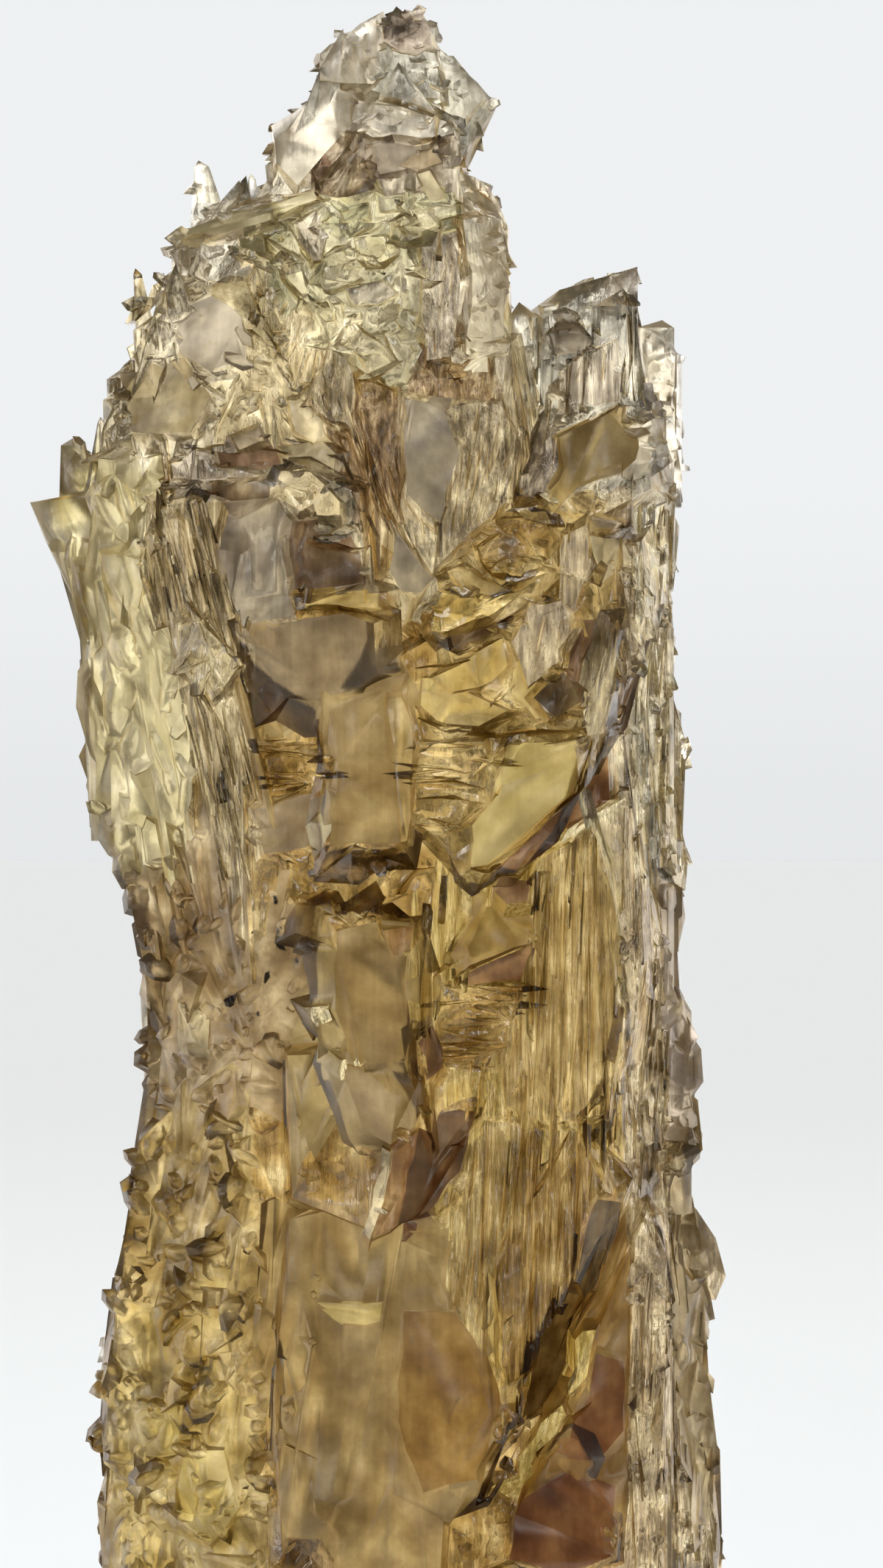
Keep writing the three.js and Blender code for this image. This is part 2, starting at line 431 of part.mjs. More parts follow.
// Grooves cut into the best face along the risers of its steps.
function grooves() {
  // A groove is a long wedge between two points [x, z]; wide is its mouth and deep its depth.
  const groove = (from, to, wide, deep) => {
    const [ax, az] = from;
    const [bx, bz] = to;
    const across = new THREE.Vector2(bz - az, ax - bx).setLength(wide / 2);
    const mouth = (x) => frontAt(x) - 3.4;
    return hull([
      [ax - across.x * 0.4, mouth(ax), az - across.y * 0.4],
      [ax + across.x * 0.4, mouth(ax), az + across.y * 0.4],
      [bx - across.x * 0.4, mouth(bx), bz - across.y * 0.4],
      [bx + across.x * 0.4, mouth(bx), bz + across.y * 0.4],
      [(ax + bx) / 2 - across.x, mouth((ax + bx) / 2), (az + bz) / 2 - across.y],
      [(ax + bx) / 2 + across.x, mouth((ax + bx) / 2), (az + bz) / 2 + across.y],
      [ax * 0.7 + bx * 0.3 - across.x * 0.8, frontAt(ax) + deep, az * 0.7 + bz * 0.3 - across.y * 0.8],
      [ax * 0.3 + bx * 0.7 - across.x * 0.8, frontAt(bx) + deep, az * 0.3 + bz * 0.7 - across.y * 0.8],
    ]);
  };
  return [
    groove([14.8, 46], [3, 22], 3.4, 2.2),
    groove([16, 86.6], [7, 67], 3, 1.2),
    groove([-0.8, 85.8], [11.6, 92.6], 1.8, 0.6),
    groove([-1, 80.6], [14, 81.4], 1.4, -0.4),
    groove([5, 54.6], [-3, 42], 3, 0.8),
    groove([15.4, 55.4], [8, 42], 1.6, 0.2),
    groove([-14, 99.6], [-5, 99], 2, 2),
    groove([-9, 94], [-3, 92.4], 1.8, 1.4),
    groove([-8.4, 88.6], [-0.8, 89.2], 1.2, 0.4),
    groove([-12, 84], [-8, 72], 2, 0.4),
    groove([8.2, 106], [9.4, 94], 1.8, 3.6),
    groove([-4.6, 127.6], [4, 124.6], 0.9, 7.6),
  ];
}

function crystal() {
  const random = randomSource(SEED);
  const growth = [
    ...core(), ...spire(), ...leftShoulder(), ...leftFin(), ...rightShoulder(), ...rightFlank(),
    ...leftFlank(), ...frontSteps(), ...leftGrains(random), ...backSteps(random), ...backLaths(random),
  ];
  let body = growth.reduce((sum, piece) => sum.add(piece));
  for (const cut of [...grooves(), ...chips(random)]) body = body.subtract(cut);
  const underBase = hull([-60, 60].flatMap((x) => [-60, 60].flatMap((y) => [[x, y, -40], [x, y, BASE_CUT]])));
  return body.subtract(underBase);
}

// A joined solid as a three.js geometry, centred on its footprint.
function geometryOf(solid) {
  const { numProp, vertProperties, triVerts } = solid.getMesh();
  const positions = new Float32Array((vertProperties.length / numProp) * 3);
  for (let i = 0; i < positions.length / 3; i++) {
    positions.set(vertProperties.subarray(i * numProp, i * numProp + 3), i * 3);
  }
  const geometry = new THREE.BufferGeometry();
  geometry.setAttribute("position", new THREE.BufferAttribute(positions, 3));
  geometry.setIndex(new THREE.BufferAttribute(triVerts, 1));
  geometry.computeBoundingBox();
  const { min, max } = geometry.boundingBox;
  geometry.translate(-(min.x + max.x) / 2, -(min.y + max.y) / 2, -min.z);
  geometry.computeVertexNormals();
  return geometry;
}

const honey = new THREE.MeshStandardMaterial({ color: TINT, roughness: 0.08, metalness: 0 });
const mesh = new THREE.Mesh(geometryOf(crystal()), honey);
mesh.name = "crystal";

const specimen = new THREE.Group();
specimen.add(mesh);
export default specimen;
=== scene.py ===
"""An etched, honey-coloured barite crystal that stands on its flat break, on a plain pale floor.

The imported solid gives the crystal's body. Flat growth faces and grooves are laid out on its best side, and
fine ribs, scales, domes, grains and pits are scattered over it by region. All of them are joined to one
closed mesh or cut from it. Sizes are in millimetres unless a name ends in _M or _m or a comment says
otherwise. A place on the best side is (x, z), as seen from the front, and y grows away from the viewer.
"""
import math
from collections import namedtuple

import bmesh
import bpy
import numpy as np
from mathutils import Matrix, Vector
from mathutils.bvhtree import BVHTree


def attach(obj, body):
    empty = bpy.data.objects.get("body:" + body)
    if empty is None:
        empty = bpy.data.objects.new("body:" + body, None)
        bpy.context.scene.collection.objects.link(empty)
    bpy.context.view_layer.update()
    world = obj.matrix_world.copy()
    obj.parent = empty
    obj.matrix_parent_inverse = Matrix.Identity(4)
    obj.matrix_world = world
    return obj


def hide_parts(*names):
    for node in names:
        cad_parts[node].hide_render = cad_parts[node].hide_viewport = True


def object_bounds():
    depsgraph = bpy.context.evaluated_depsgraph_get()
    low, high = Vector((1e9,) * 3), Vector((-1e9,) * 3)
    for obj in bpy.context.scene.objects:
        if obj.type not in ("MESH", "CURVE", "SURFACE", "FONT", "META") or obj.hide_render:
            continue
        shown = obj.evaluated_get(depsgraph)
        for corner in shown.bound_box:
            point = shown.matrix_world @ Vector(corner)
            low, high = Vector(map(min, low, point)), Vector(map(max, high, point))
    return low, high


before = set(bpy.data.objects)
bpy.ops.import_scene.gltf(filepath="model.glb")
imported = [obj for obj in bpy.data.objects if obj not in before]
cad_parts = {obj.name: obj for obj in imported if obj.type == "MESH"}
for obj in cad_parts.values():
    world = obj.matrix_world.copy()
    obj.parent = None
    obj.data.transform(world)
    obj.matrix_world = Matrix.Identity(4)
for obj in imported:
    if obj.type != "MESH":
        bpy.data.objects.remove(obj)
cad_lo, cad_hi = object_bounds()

MM = 0.001
rng = np.random.default_rng(20)
scene = bpy.context.scene

# ------------------------ the best side, laid out one by one

# The colour that a patch shows against a white ground, as 0 to 255, light and shade included. Beside the
# crystal's own colour, the dark tones of the sunk risers and grooves are painted shade, and the pale tones of
# the small glint faces are painted highlight.
TONES = {
    "milk": (205, 195, 176), "blush": (190, 178, 157), "beige": (180, 166, 137), "lemon": (195, 180, 140),
    "pale": (181, 167, 129), "green": (171, 162, 125), "sand": (168, 151, 115), "rose": (164, 149, 129),
    "grey": (165, 156, 137), "ash": (154, 140, 116), "khaki": (147, 131, 99), "olive": (151, 134, 103),
    "straw": (175, 153, 96), "gold": (162, 139, 88), "honey": (149, 127, 83), "mauve": (147, 126, 90),
    "tan": (140, 117, 75), "ochre": (141, 115, 66), "umber": (130, 111, 80), "amber": (126, 100, 58),
    "dusk": (137, 123, 100), "brown": (111, 90, 62), "rust": (112, 83, 44), "bark": (99, 76, 45),
    "pitch": (90, 60, 20),
}

# A patch is a region of the best side or a single face in one, and a later patch lies over an earlier one.
# proud > 0 raises a flat face over the surface, and proud < 0 sinks one into it. tilt is how far its right
# side and its lower side stand out, and lean, where it is given, is how far its small shapes lean to the
# right instead of their finish's own lean. Both are in degrees.
Patch = namedtuple("Patch", "tone finish outline proud tilt lean", defaults=(0, (0, 0), None))

REGIONS = [
    ("tan", "plain", [(-30, 0), (30, 0), (30, 136), (-30, 136)]),
    # the crowded grains of the lower left
    ("honey", "grains", [(-28, 0), (-7, 0), (-8, 30), (-8, 48), (-11, 60), (-20, 66), (-26, 52)]),
    ("gold", "grains", [(-20, 14), (-9, 12), (-9, 28), (-13, 37), (-19, 37)]),
    ("mauve", "lumps", [(-19, 52), (-6, 52), (-3, 70), (-11, 74), (-21, 72)]),
    # the pale fin and the left shoulder
    ("pale", "lobes", [(-30, 66), (-14, 71), (-13, 78), (-15, 90), (-16, 101), (-30, 104)]),
    ("beige", "flakes", [(-22, 101), (-12, 101), (-9, 106), (-9, 114.5), (-16, 116), (-24, 108)]),
    ("sand", "flakes", [(-12, 100), (-5, 100), (-3.5, 108), (-6.8, 117.6), (-10, 117.6)], 0, (0, 0), 22),
    ("milk", "flakes", [(-16, 115), (-9, 114.5), (-4, 120.5), (-8, 124), (-16, 125)]),
    # the etched field under the spire
    ("green", "etched", [(-10, 117.8), (-3.6, 119.8), (0, 120.6), (6.2, 120.4), (6.3, 117.4), (3.8, 116),
     (3.8, 110), (2.6, 105), (-1.6, 107.4), (-5, 107), (-7.4, 114)]),
    ("grey", "haze", [(-6, 126), (5.5, 124), (8, 123.4), (10, 128), (5, 136), (-2, 136), (-5, 131)]),
    ("dusk", "haze", [(-1.8, 127.6), (6, 125.6), (6.6, 120), (0, 120.6), (-5, 120.4), (-4.6, 123)]),
    ("beige", "ribs", [(6.3, 121.6), (9.6, 120), (10.4, 114), (10.2, 106), (6.6, 107.4)]),
    # the right shoulder with its clear plates
    ("grey", "foil", [(9.4, 115), (20.4, 116.5), (20, 96), (13, 96), (10.4, 104)]),
    ("milk", "smooth", [(9, 110), (13.6, 110.6), (14.6, 116), (9, 116)]),
    ("milk", "foil", [(13.6, 113.6), (20, 112.4), (20, 117), (13.6, 117)]),
    ("blush", "haze", [(19.9, 98), (25, 98), (25, 114), (19.9, 114)]),
    # the fibres that fan out over the rough block
    ("khaki", "fan", [(-4.6, 109), (-1, 105), (2.4, 104.8), (10.6, 107), (11.4, 101), (10, 96), (5, 91.6),
     (0.4, 93), (-2, 96)]),
    ("umber", "fan", [(-5, 104.8), (-3.4, 108.8), (-1.2, 105.4), (2.3, 102.4), (2.2, 95.6), (-0.4, 93.6),
     (-2.4, 98)]),
    ("khaki", "fibres", [(-17.4, 98), (-6.4, 98), (-5.4, 88), (-8.4, 84), (-8, 70), (-11, 69), (-17, 90)]),
    ("ash", "shards", [(-15, 101), (-6.6, 102.4), (-2.4, 100.4), (-0.4, 93), (0.8, 90.4), (-5.6, 90),
     (-7, 97.4), (-15, 97.4)]),
    ("tan", "satin", [(-9.6, 88), (0.6, 88.4), (3.4, 84), (3.2, 71.4), (-8, 70), (-9, 78)]),
    ("sand", "flecks", [(0.8, 94.6), (5, 93.4), (5.6, 88.4), (1.2, 88)]),
    # the golden steps of the upper right and the ribbed prism under them
    ("honey", "etched", [(3.2, 69.8), (5.2, 94.6), (10, 97), (17.6, 97.4), (18.4, 86), (17.6, 78),
     (15, 74), (10, 69.6)]),
    ("gold", "ribs", [(0.6, 71), (8.6, 70), (13, 71), (17.8, 76), (18.4, 52), (16.4, 44), (12, 33),
     (8, 28), (6.4, 40), (8.6, 52), (5, 55), (3.2, 58)]),
    ("straw", "ribs", [(11.2, 70.4), (14.6, 72.8), (15.2, 60), (13.6, 54), (12, 58)]),
    ("pale", "ribs", [(14.8, 73), (18, 78), (18.4, 60), (15.2, 61)]),
    ("tan", "ladder", [(-8.4, 80), (-3, 80), (-3.2, 75.6), (-8.4, 75.4)]),
    ("gold", "ribs", [(8, 53), (12.4, 51), (10, 42), (9, 30), (6, 34), (5, 45)]),
    ("tan", "satin", [(-8.6, 46), (5, 45), (8.4, 38), (9.6, 31), (7, 22), (3, 14), (-6, 16), (-8, 30)]),
    ("honey", "satin", [(-3.6, 67), (3, 67), (3.4, 55), (0, 50), (-6, 50), (-6, 58)]),
    ("tan", "flecks", [(-9, 71.8), (4, 72), (6, 69.4), (2, 66.4), (-8, 67)]),
    ("honey", "grains", [(-7, 16), (21, 16), (21, 0), (-7, 0)]),
    ("amber", "satin", [(9, 20), (18.8, 22), (19, 46), (16.6, 46), (11, 27)]),
    # the right flank
    ("olive", "foil", [(17.8, 98), (26, 98), (28, 0), (19, 0), (18.6, 50), (18, 76)]),
    ("grey", "foil", [(19.4, 98), (24, 98), (24, 70), (20.4, 66), (19, 80)]),
    ("beige", "foil", [(21, 98), (24, 98), (25, 68), (21.4, 70)]),
    ("rose", "lobes", [(21.2, 69), (26, 70), (27, 52), (22.4, 50)]),
    ("olive", "lobes", [(22.4, 50), (27, 52), (28, 22), (23, 22)]),
]

FACES = [
    # the spire
    ("blush", "haze", [(-3.9, 130.5), (-3.2, 131.3), (-2.2, 131.9), (-1, 133.2), (0.7, 134.4), (1.4, 131),
     (0, 128.6), (-3.9, 128.4)], 0.4),
    ("rose", "haze", [(0.6, 133.8), (3.6, 134.5), (4.4, 131.8), (3.2, 131), (0.8, 132)], 0.2),
    ("grey", "haze", [(0.6, 131.6), (4.6, 131.2), (5, 127.6), (2.2, 127.4), (-0.6, 128.4),
     (-0.2, 130)], 0.3, (4, 6)),
    ("milk", "haze", [(3.4, 129.6), (5, 129.4), (5.2, 126.6), (3.2, 127)], 0.4, (10, 0)),
    ("grey", "haze", [(5.1, 131.2), (6, 131.2), (8.4, 128), (6.9, 126.4), (5.5, 126.2)], 0.3),
    ("blush", "smooth", [(-7.6, 125.4), (-3.3, 127.9), (-1.7, 127.6), (-1.7, 125.2), (-4.6, 122),
     (-5.6, 120.9), (-7.2, 122.6)], 0.5, (3, 0)),
    ("blush", "haze", [(-1.3, 127.3), (2.2, 126.7), (5.6, 125.8), (6, 124.7), (4.4, 124.1), (0, 124.3),
     (-1.6, 125.2)], 0.5, (2, 8)),
    ("dusk", "smooth", [(0.1, 123.9), (4.2, 124), (3.6, 122.6), (2.2, 122.1),
     (0.4, 121.7)], -0.5, (0, -14)),
    ("umber", "smooth", [(2.1, 122.4), (4.4, 123.7), (5.1, 122.7), (3.4, 122.1)], -0.7),
    ("brown", "haze", [(-4.6, 122), (-1.6, 124.2), (0, 123), (0.2, 120.4), (-1.8, 119.9),
     (-4.2, 120.3)], 0.7, (4, 10)),
    ("sand", "smooth", [(3, 122.3), (4, 122.3), (5.4, 119.8), (4.2, 119.7)], 0.5, (16, 0)),
    # the etched field
    ("pale", "etched", [(-1.4, 116.8), (1, 116.9), (1.8, 115.9), (1.2, 115), (0.2, 114.9),
     (-0.8, 115.2)], 0.5, (6, 10)),
    ("khaki", "etched", [(-7.2, 116), (-5.9, 115.5), (-5, 113.2), (-3.6, 111.9), (-5.2, 112.3),
     (-7, 114.4)], 0.4, (12, 4)),
    ("ash", "flecks", [(-5.7, 117.9), (-4.2, 119.1), (-3.4, 117), (-3.9, 115.1),
     (-4.6, 114.8)], 0.4, (-12, 6)),
    ("green", "etched", [(-3.8, 115.3), (-1.8, 116.4), (-0.6, 115), (-2.2, 113.2),
     (-4.6, 113.4)], 0.4, (4, 12)),
    ("green", "etched", [(-2.5, 119.6), (-0.4, 119.5), (-0.4, 118.3), (-2.2, 118.1)], 0.4, (4, 9)),
    ("green", "etched", [(0.3, 119.9), (2.2, 120.1), (1.9, 119), (0.6, 118.8)], 0.4, (8, 4)),
    ("pale", "etched", [(1.6, 118), (3.6, 119.3), (5.2, 118.7), (4.8, 117.6), (3, 116.7),
     (1.8, 117.1)], 0.4, (-4, 12)),
    ("green", "etched", [(2.8, 120.2), (5.8, 120.3), (6, 118.8), (3.6, 119.4)], 0.4, (10, 0)),
    ("green", "etched", [(-1.8, 110.6), (0.2, 111.8), (3.2, 110.7), (3.6, 108.2), (2.4, 105.9), (1, 105.9),
     (-0.4, 107.4), (-1.6, 108.6)], 0.5, (4, 4), -34),
    ("ash", "etched", [(-2, 113), (0.6, 113.6), (1.8, 112.6), (0.4, 111.8), (-1.4, 111.8)], 0.4, (4, 9)),
    ("lemon", "etched", [(-4.8, 111.4), (-2.4, 111.8), (-2.2, 110), (-3.2, 108.4),
     (-5, 108.8)], 0.5, (8, 2)),
    ("pale", "smooth", [(-14.6, 117.5), (-10.4, 118.9), (-4.4, 120.4), (-4.2, 119.7), (-9.6, 117.6),
     (-14.8, 116.7)], 0.5, (0, 8)),
    ("pale", "etched", [(-10, 117), (-8.3, 117.2), (-7.9, 115.6), (-9.6, 115.2)], 0.4, (4, 6)),
    ("sand", "fibres", [(-6, 111.4), (-4.6, 111.6), (-3.8, 107), (-5.2, 105.2),
     (-6.2, 107.6)], 0.4, (6, 0), 14),
    # the dark bands at both sides of the field's foot
    ("ash", "fibres", [(3.7, 116.6), (6.2, 117.6), (6.4, 112), (6.1, 108), (4, 107.6),
     (3.7, 112)], -0.4, (0, 0), 1),
    ("blush", "haze", [(6.7, 118.2), (9.4, 118.6), (10, 115), (9.8, 108), (8, 106.9),
     (6.9, 108)], 0.6, (-6, 0)),
    ("blush", "haze", [(6.4, 122.1), (7.6, 121.8), (8.8, 120.9), (10.1, 118.2), (10.2, 115.4), (9.4, 113),
     (7, 113)], 0.4, (-4, 2), 4),
    # the right shoulder
    ("ash", "smooth", [(12.9, 109.6), (14.2, 110.9), (15.3, 110.4), (16.4, 109.3), (15, 108),
     (13.2, 108.2)], -0.2, (6, -4)),
    ("ash", "ribs", [(15.4, 108.2), (18, 109.2), (18.4, 104.8), (15, 104), (14, 103.4),
     (14.2, 106.8)], 0.5, (4, -4)),
    ("honey", "satin", [(13.5, 102.2), (18.1, 104.4), (19.6, 102.6), (19.4, 100.2), (18.2, 99.1), (15, 98),
     (13.2, 96), (12.8, 98.4), (13.8, 100.6)], 0.7, (2, 3)),
    ("dusk", "fibres", [(11.3, 101.6), (12.2, 102.7), (13.6, 101.5), (13.7, 99.6), (12.5, 97.4),
     (11, 97.4)], -0.5, (-10, 0), 3),
    ("sand", "smooth", [(15.9, 94.5), (18.4, 94.3), (19, 92.6), (16.8, 91.5)], 0.5, (6, 8)),
    # the fan
    ("khaki", "fan", [(2.4, 104.6), (9.4, 105), (10.8, 101), (9.8, 96.8), (5.9, 93.2), (4.6, 91.9),
     (4.9, 94.6), (2.5, 97)], 0.6, (3, 2)),
    ("dusk", "satin", [(2.5, 104.4), (5, 104.6), (6.4, 100.4), (5, 95.4), (2.6, 97.4)], 0.8, (5, 1)),
    ("khaki", "fan", [(-5, 104.9), (-3.6, 107), (-3.2, 108.7), (-1.9, 107.4), (-1.2, 105), (-1.6, 102.8),
     (-3, 103)], 0.5, (-4, 4)),
    ("umber", "fibres", [(3.7, 108.4), (4.4, 109.9), (5.8, 106.2), (8.8, 106.6), (9.8, 105.1), (9, 104.4),
     (2.5, 105.2)], -0.3, (0, 8), 2),
    # left of the fan
    ("sand", "smooth", [(-6.2, 104.7), (-5, 104.5), (-3.8, 103.2), (-3.5, 102), (-4.4, 101.5),
     (-5.7, 102.4)], 0.9, (4, 8)),
    ("olive", "smooth", [(-10.4, 102), (-8.6, 102.7), (-7.8, 101.3), (-9.6, 100.6)], 0.6),
    ("ash", "satin", [(-14.4, 111.6), (-12, 112.6), (-9.8, 111), (-9.4, 107.8), (-12, 106.8),
     (-14.4, 108.4)], 0.3, (4, 4)),
    ("khaki", "smooth", [(-19, 107), (-14, 108), (-12, 105), (-13.6, 102.4), (-18, 102.6)], 0.5, (4, 6)),
    ("brown", "smooth", [(-11.6, 101), (-8.8, 100.9), (-7.3, 101.5), (-6.8, 100.1), (-8.2, 99.6),
     (-11.3, 99.9)], -0.9, (0, -16)),
    ("bark", "smooth", [(-12, 98.7), (-8.6, 98.8), (-7.5, 98.2), (-7.6, 97.4), (-9.6, 97.3),
     (-12, 97.9)], -0.9, (6, -18)),
    ("sand", "smooth", [(-7, 101.2), (-3.8, 101.7), (-2.7, 100.6), (-2.9, 98.4), (-4, 99.7),
     (-6.6, 99.8)], 0.5, (0, 14)),
    ("sand", "flecks", [(-6.8, 99.3), (-4.5, 99.1), (-2.3, 96.8), (-2.3, 95.7), (-4, 95.9),
     (-7, 97.4)], 0.8, (2, 10)),
    ("dusk", "smooth", [(-10.4, 97), (-7, 97.1), (-6, 95.6), (-6.1, 92), (-5.5, 88.5), (-9.4, 87.8),
     (-10.4, 90), (-11.4, 93.6)], 0.9, (8, 2)),
    ("brown", "smooth", [(-5.8, 95.5), (-4, 95.7), (-3.6, 94.1), (-1.6, 94.6), (-0.8, 93), (-0.6, 91),
     (-5.6, 90.6), (-6, 93)], -0.7, (-4, -10)),
    ("brown", "smooth", [(-2.2, 92), (-1, 92.3), (-0.8, 90.8), (-2.2, 90.6)], 0.4),
    ("gold", "smooth", [(-4.6, 90.5), (0.7, 90.2), (1.3, 88.5), (-2, 89.2), (-4.8, 89.1)], 0.7, (0, 14)),
    ("umber", "satin", [(-8.8, 87.4), (-5.4, 88.3), (-2, 88.7), (0.2, 87.9), (0.4, 84.4), (-2, 83),
     (-4.6, 82.4), (-7, 82.4), (-8.6, 84)], 0.7, (3, 6)),
    ("sand", "ribs", [(0.3, 87.6), (1.6, 87), (1.7, 84.6), (0.3, 85)], 0.8, (8, 0)),
    ("dusk", "smooth", [(1.7, 94.8), (3, 94), (5.1, 92.1), (4.4, 90.2), (2.1, 90.4),
     (1.3, 92)], 0.7, (5, 7)),
    # the fin
    ("pale", "lobes", [(-20.2, 93.4), (-17.4, 93), (-17.1, 91), (-17.5, 89.4), (-18.7, 89.7)], 0.7, (4, 8)),
    ("pale", "lobes", [(-21, 86), (-15.2, 88), (-13.6, 80), (-14.2, 73), (-21, 75)], 0.5, (6, 0)),
    ("sand", "flakes", [(-15, 88), (-12.2, 88.4), (-9.8, 85), (-12, 82.2), (-14.4, 85)], 0.5, (6, 2), -30),
    ("brown", "smooth", [(-8.4, 83), (-7.4, 84.2), (-6.8, 82.8), (-7.4, 81.4)], -0.3),
    # the golden steps, with the sunk risers between them in dark tones as painted shade
    ("tan", "etched", [(6.7, 95), (7.6, 94.2), (9.4, 95.6), (12.4, 95.9), (13.3, 94), (12, 92.8),
     (10, 93.2), (8.4, 91.8)], 0.6, (4, 4), 10),
    ("honey", "smooth", [(6.4, 92.5), (8, 91.2), (10, 90.4), (8.6, 90), (6.8, 90.2),
     (5.7, 91.6)], 0.7, (5, 12)),
    ("gold", "flecks", [(5.2, 90.2), (8.8, 89.9), (11.2, 90.4), (8.4, 88.4), (5.6, 87.2), (4.4, 87.4),
     (4.6, 89)], 0.8, (4, 10)),
    ("bark", "smooth", [(3.6, 86.2), (5.6, 87), (8.6, 87.8), (11.1, 89.6), (9.4, 87.3), (6.6, 86.1),
     (4.2, 85.5)], -0.9, (0, 16)),
    ("gold", "smooth", [(6.4, 84.9), (9.5, 86.9), (9.9, 84.9), (8.8, 83.8), (6, 83),
     (4.4, 84)], 0.9, (3, 5)),
    ("gold", "smooth", [(3.7, 84), (5.6, 84), (8.8, 82.1), (9.8, 81.6), (7.8, 80.5), (5, 80.7),
     (3.6, 82)], 0.7, (6, 8)),
    ("gold", "smooth", [(10.3, 84.7), (11.6, 85), (12, 83.7), (13.6, 82.2), (12, 81),
     (10.2, 82.8)], 0.5, (8, 6)),
    ("olive", "ribs", [(10.2, 86.6), (11.5, 89.4), (13.9, 89.7), (15, 87), (13.3, 84.8),
     (11.4, 83.4)], 0.9, (8, 3), 12),
    ("olive", "ribs", [(14, 94.4), (15.6, 95.2), (15.8, 92), (14.8, 89), (13.6, 89.6)], 0.9, (10, 0), 6),
    ("brown", "smooth", [(14, 83), (14.5, 86), (16.1, 88.5), (16.9, 91), (17.4, 88), (17.1, 85),
     (15.4, 82.4)], -0.7, (-8, -6)),
    ("bark", "smooth", [(11.8, 82.6), (14, 84.5), (15.3, 82.3), (13.4, 81.2)], -0.9, (0, -12)),
    ("sand", "ribs", [(16.3, 87), (18.1, 87.6), (17.6, 83), (16.6, 79), (15.4, 76.4), (15.7, 80),
     (15.3, 82)], 1.1, (6, 0), 10),
    ("brown", "smooth", [(19.2, 84.6), (19.9, 84.3), (19, 81.7), (17.6, 81.5), (18.5, 84)], -0.6),
    ("straw", "satin", [(7.3, 73.3), (8.7, 75), (10, 79.4), (14.7, 79.4), (15.1, 76), (12.4, 73.7),
     (9.6, 71.2), (8.4, 70.3), (7.2, 70.5)], 1.2, (3, 4)),
    ("rust", "smooth", [(8.6, 69.9), (9.8, 70.8), (12.8, 73.6), (15.4, 75.8), (17.5, 79.3), (17.8, 76),
     (15.4, 73.4), (12, 71)], -0.7, (-10, 0)),
    # the window of the middle, with the bright strip on its right
    ("tan", "satin", [(-2.9, 81.4), (0.9, 82.6), (1.6, 77), (2.1, 72.1), (-3, 71.8),
     (-2.5, 76)], 0.5, (3, 1)),
    ("honey", "smooth", [(1.2, 82.4), (2.2, 82.6), (3, 80), (2.6, 72.2), (2.2, 72.1),
     (1.8, 77)], 0.8, (12, 0)),
    ("umber", "satin", [(-8.8, 74.4), (-4.4, 75.6), (-3.9, 72), (-8, 71.2)], 0.5, (4, 4)),
    ("pale", "smooth", [(-4.4, 76), (-3.8, 75.4), (-3.2, 72), (-4, 71.5)], 0.7, (16, 0)),
    ("honey", "ladder", [(3.3, 79.4), (8.2, 79.4), (8.6, 76), (7.6, 73.6), (3.2, 73.4)], 0.4, (2, 2)),
    # the second window and what is round it
    ("tan", "satin", [(-2.5, 65.6), (0.4, 66.3), (0.7, 65), (2.6, 63.8), (2.4, 62), (2.8, 58), (2.4, 56.1),
     (-1.6, 56.2), (-2.6, 60)], 0.5, (2, 1)),
    ("amber", "smooth", [(0.9, 65.7), (3.1, 66), (2.8, 64.3), (1.6, 63.9)], 0.5, (6, -8)),
    ("honey", "smooth", [(-5.6, 67.4), (-3, 67.7), (-2.3, 66), (-3.5, 64.8), (-5.6, 65.4)], 0.5, (4, 12)),
    ("ochre", "satin", [(7.5, 69), (8.8, 68), (11.4, 67.2), (12, 64.8), (9, 63.8), (6.4, 62.6),
     (5.8, 63.8), (7.4, 66.6)], 0.7, (3, 5)),
    ("rust", "smooth", [(6.2, 62), (11.9, 64.7), (10.8, 61.9), (7.2, 61.6)], -0.7, (0, -12)),
    ("tan", "ladder", [(5.4, 61.4), (10.8, 61.6), (10, 59), (9.2, 55.2), (5, 55.6),
     (4.4, 58)], -0.3, (4, 4)),
    ("brown", "smooth", [(3.6, 57.4), (4.4, 58.8), (5.1, 57.2), (5.2, 55.6), (4, 54.6)], -0.8),
    ("brown", "smooth", [(8.9, 68.5), (9.4, 69.6), (11.6, 69.2), (11.4, 67.7), (9.9, 67.5)], -0.8),
    # Painted highlight: two small faces in pale and lemon tones where white and yellow-white glints show.
    ("pale", "flecks", [(-4.9, 60), (-3.2, 60.2), (-2.8, 59.2), (-4, 58.6)], 0.4, (14, 10)),
    ("lemon", "flecks", [(-3, 56), (-1, 56.5), (-0.8, 56), (-3.2, 54.9)], 0.6, (0, 20)),
    ("sand", "lumps", [(-14.6, 60), (-12.2, 59), (-12.4, 55.8), (-14.4, 56)], 0.4, (-4, 0)),
    # the dark shard under it
    ("bark", "satin", [(3.4, 51), (5.2, 52.4), (7.7, 52.4), (7, 50), (6.4, 48), (4.6, 45.6), (2.4, 43),
     (1.1, 42.1), (2, 44.6), (2.6, 48)], -0.5, (-6, 0)),
    ("amber", "smooth", [(1.6, 50.5), (3.3, 50.8), (4.1, 47.8), (2.9, 45), (0.3, 43.5),
     (0.8, 46)], 0.6, (6, 2)),
    ("ash", "flecks", [(0.8, 50), (1.4, 49.6), (0.9, 46), (-0.1, 43.2), (-0.6, 43.8),
     (0.2, 47)], 0.8, (18, 0)),
    # the ribbed faces of the lower prism
    ("honey", "ribs", [(8.2, 51.8), (12.6, 51), (10.2, 46), (8.8, 40), (8, 35), (5.4, 40),
     (6.2, 46)], 0.5, (3, 0), 4),
    ("tan", "ribs", [(11.4, 51), (15, 51), (17.2, 46.2), (15.2, 41.4), (13.2, 37.6), (11.4, 33.8),
     (10, 33), (9, 40), (10.4, 46)], 0.9, (4, 0), 4),
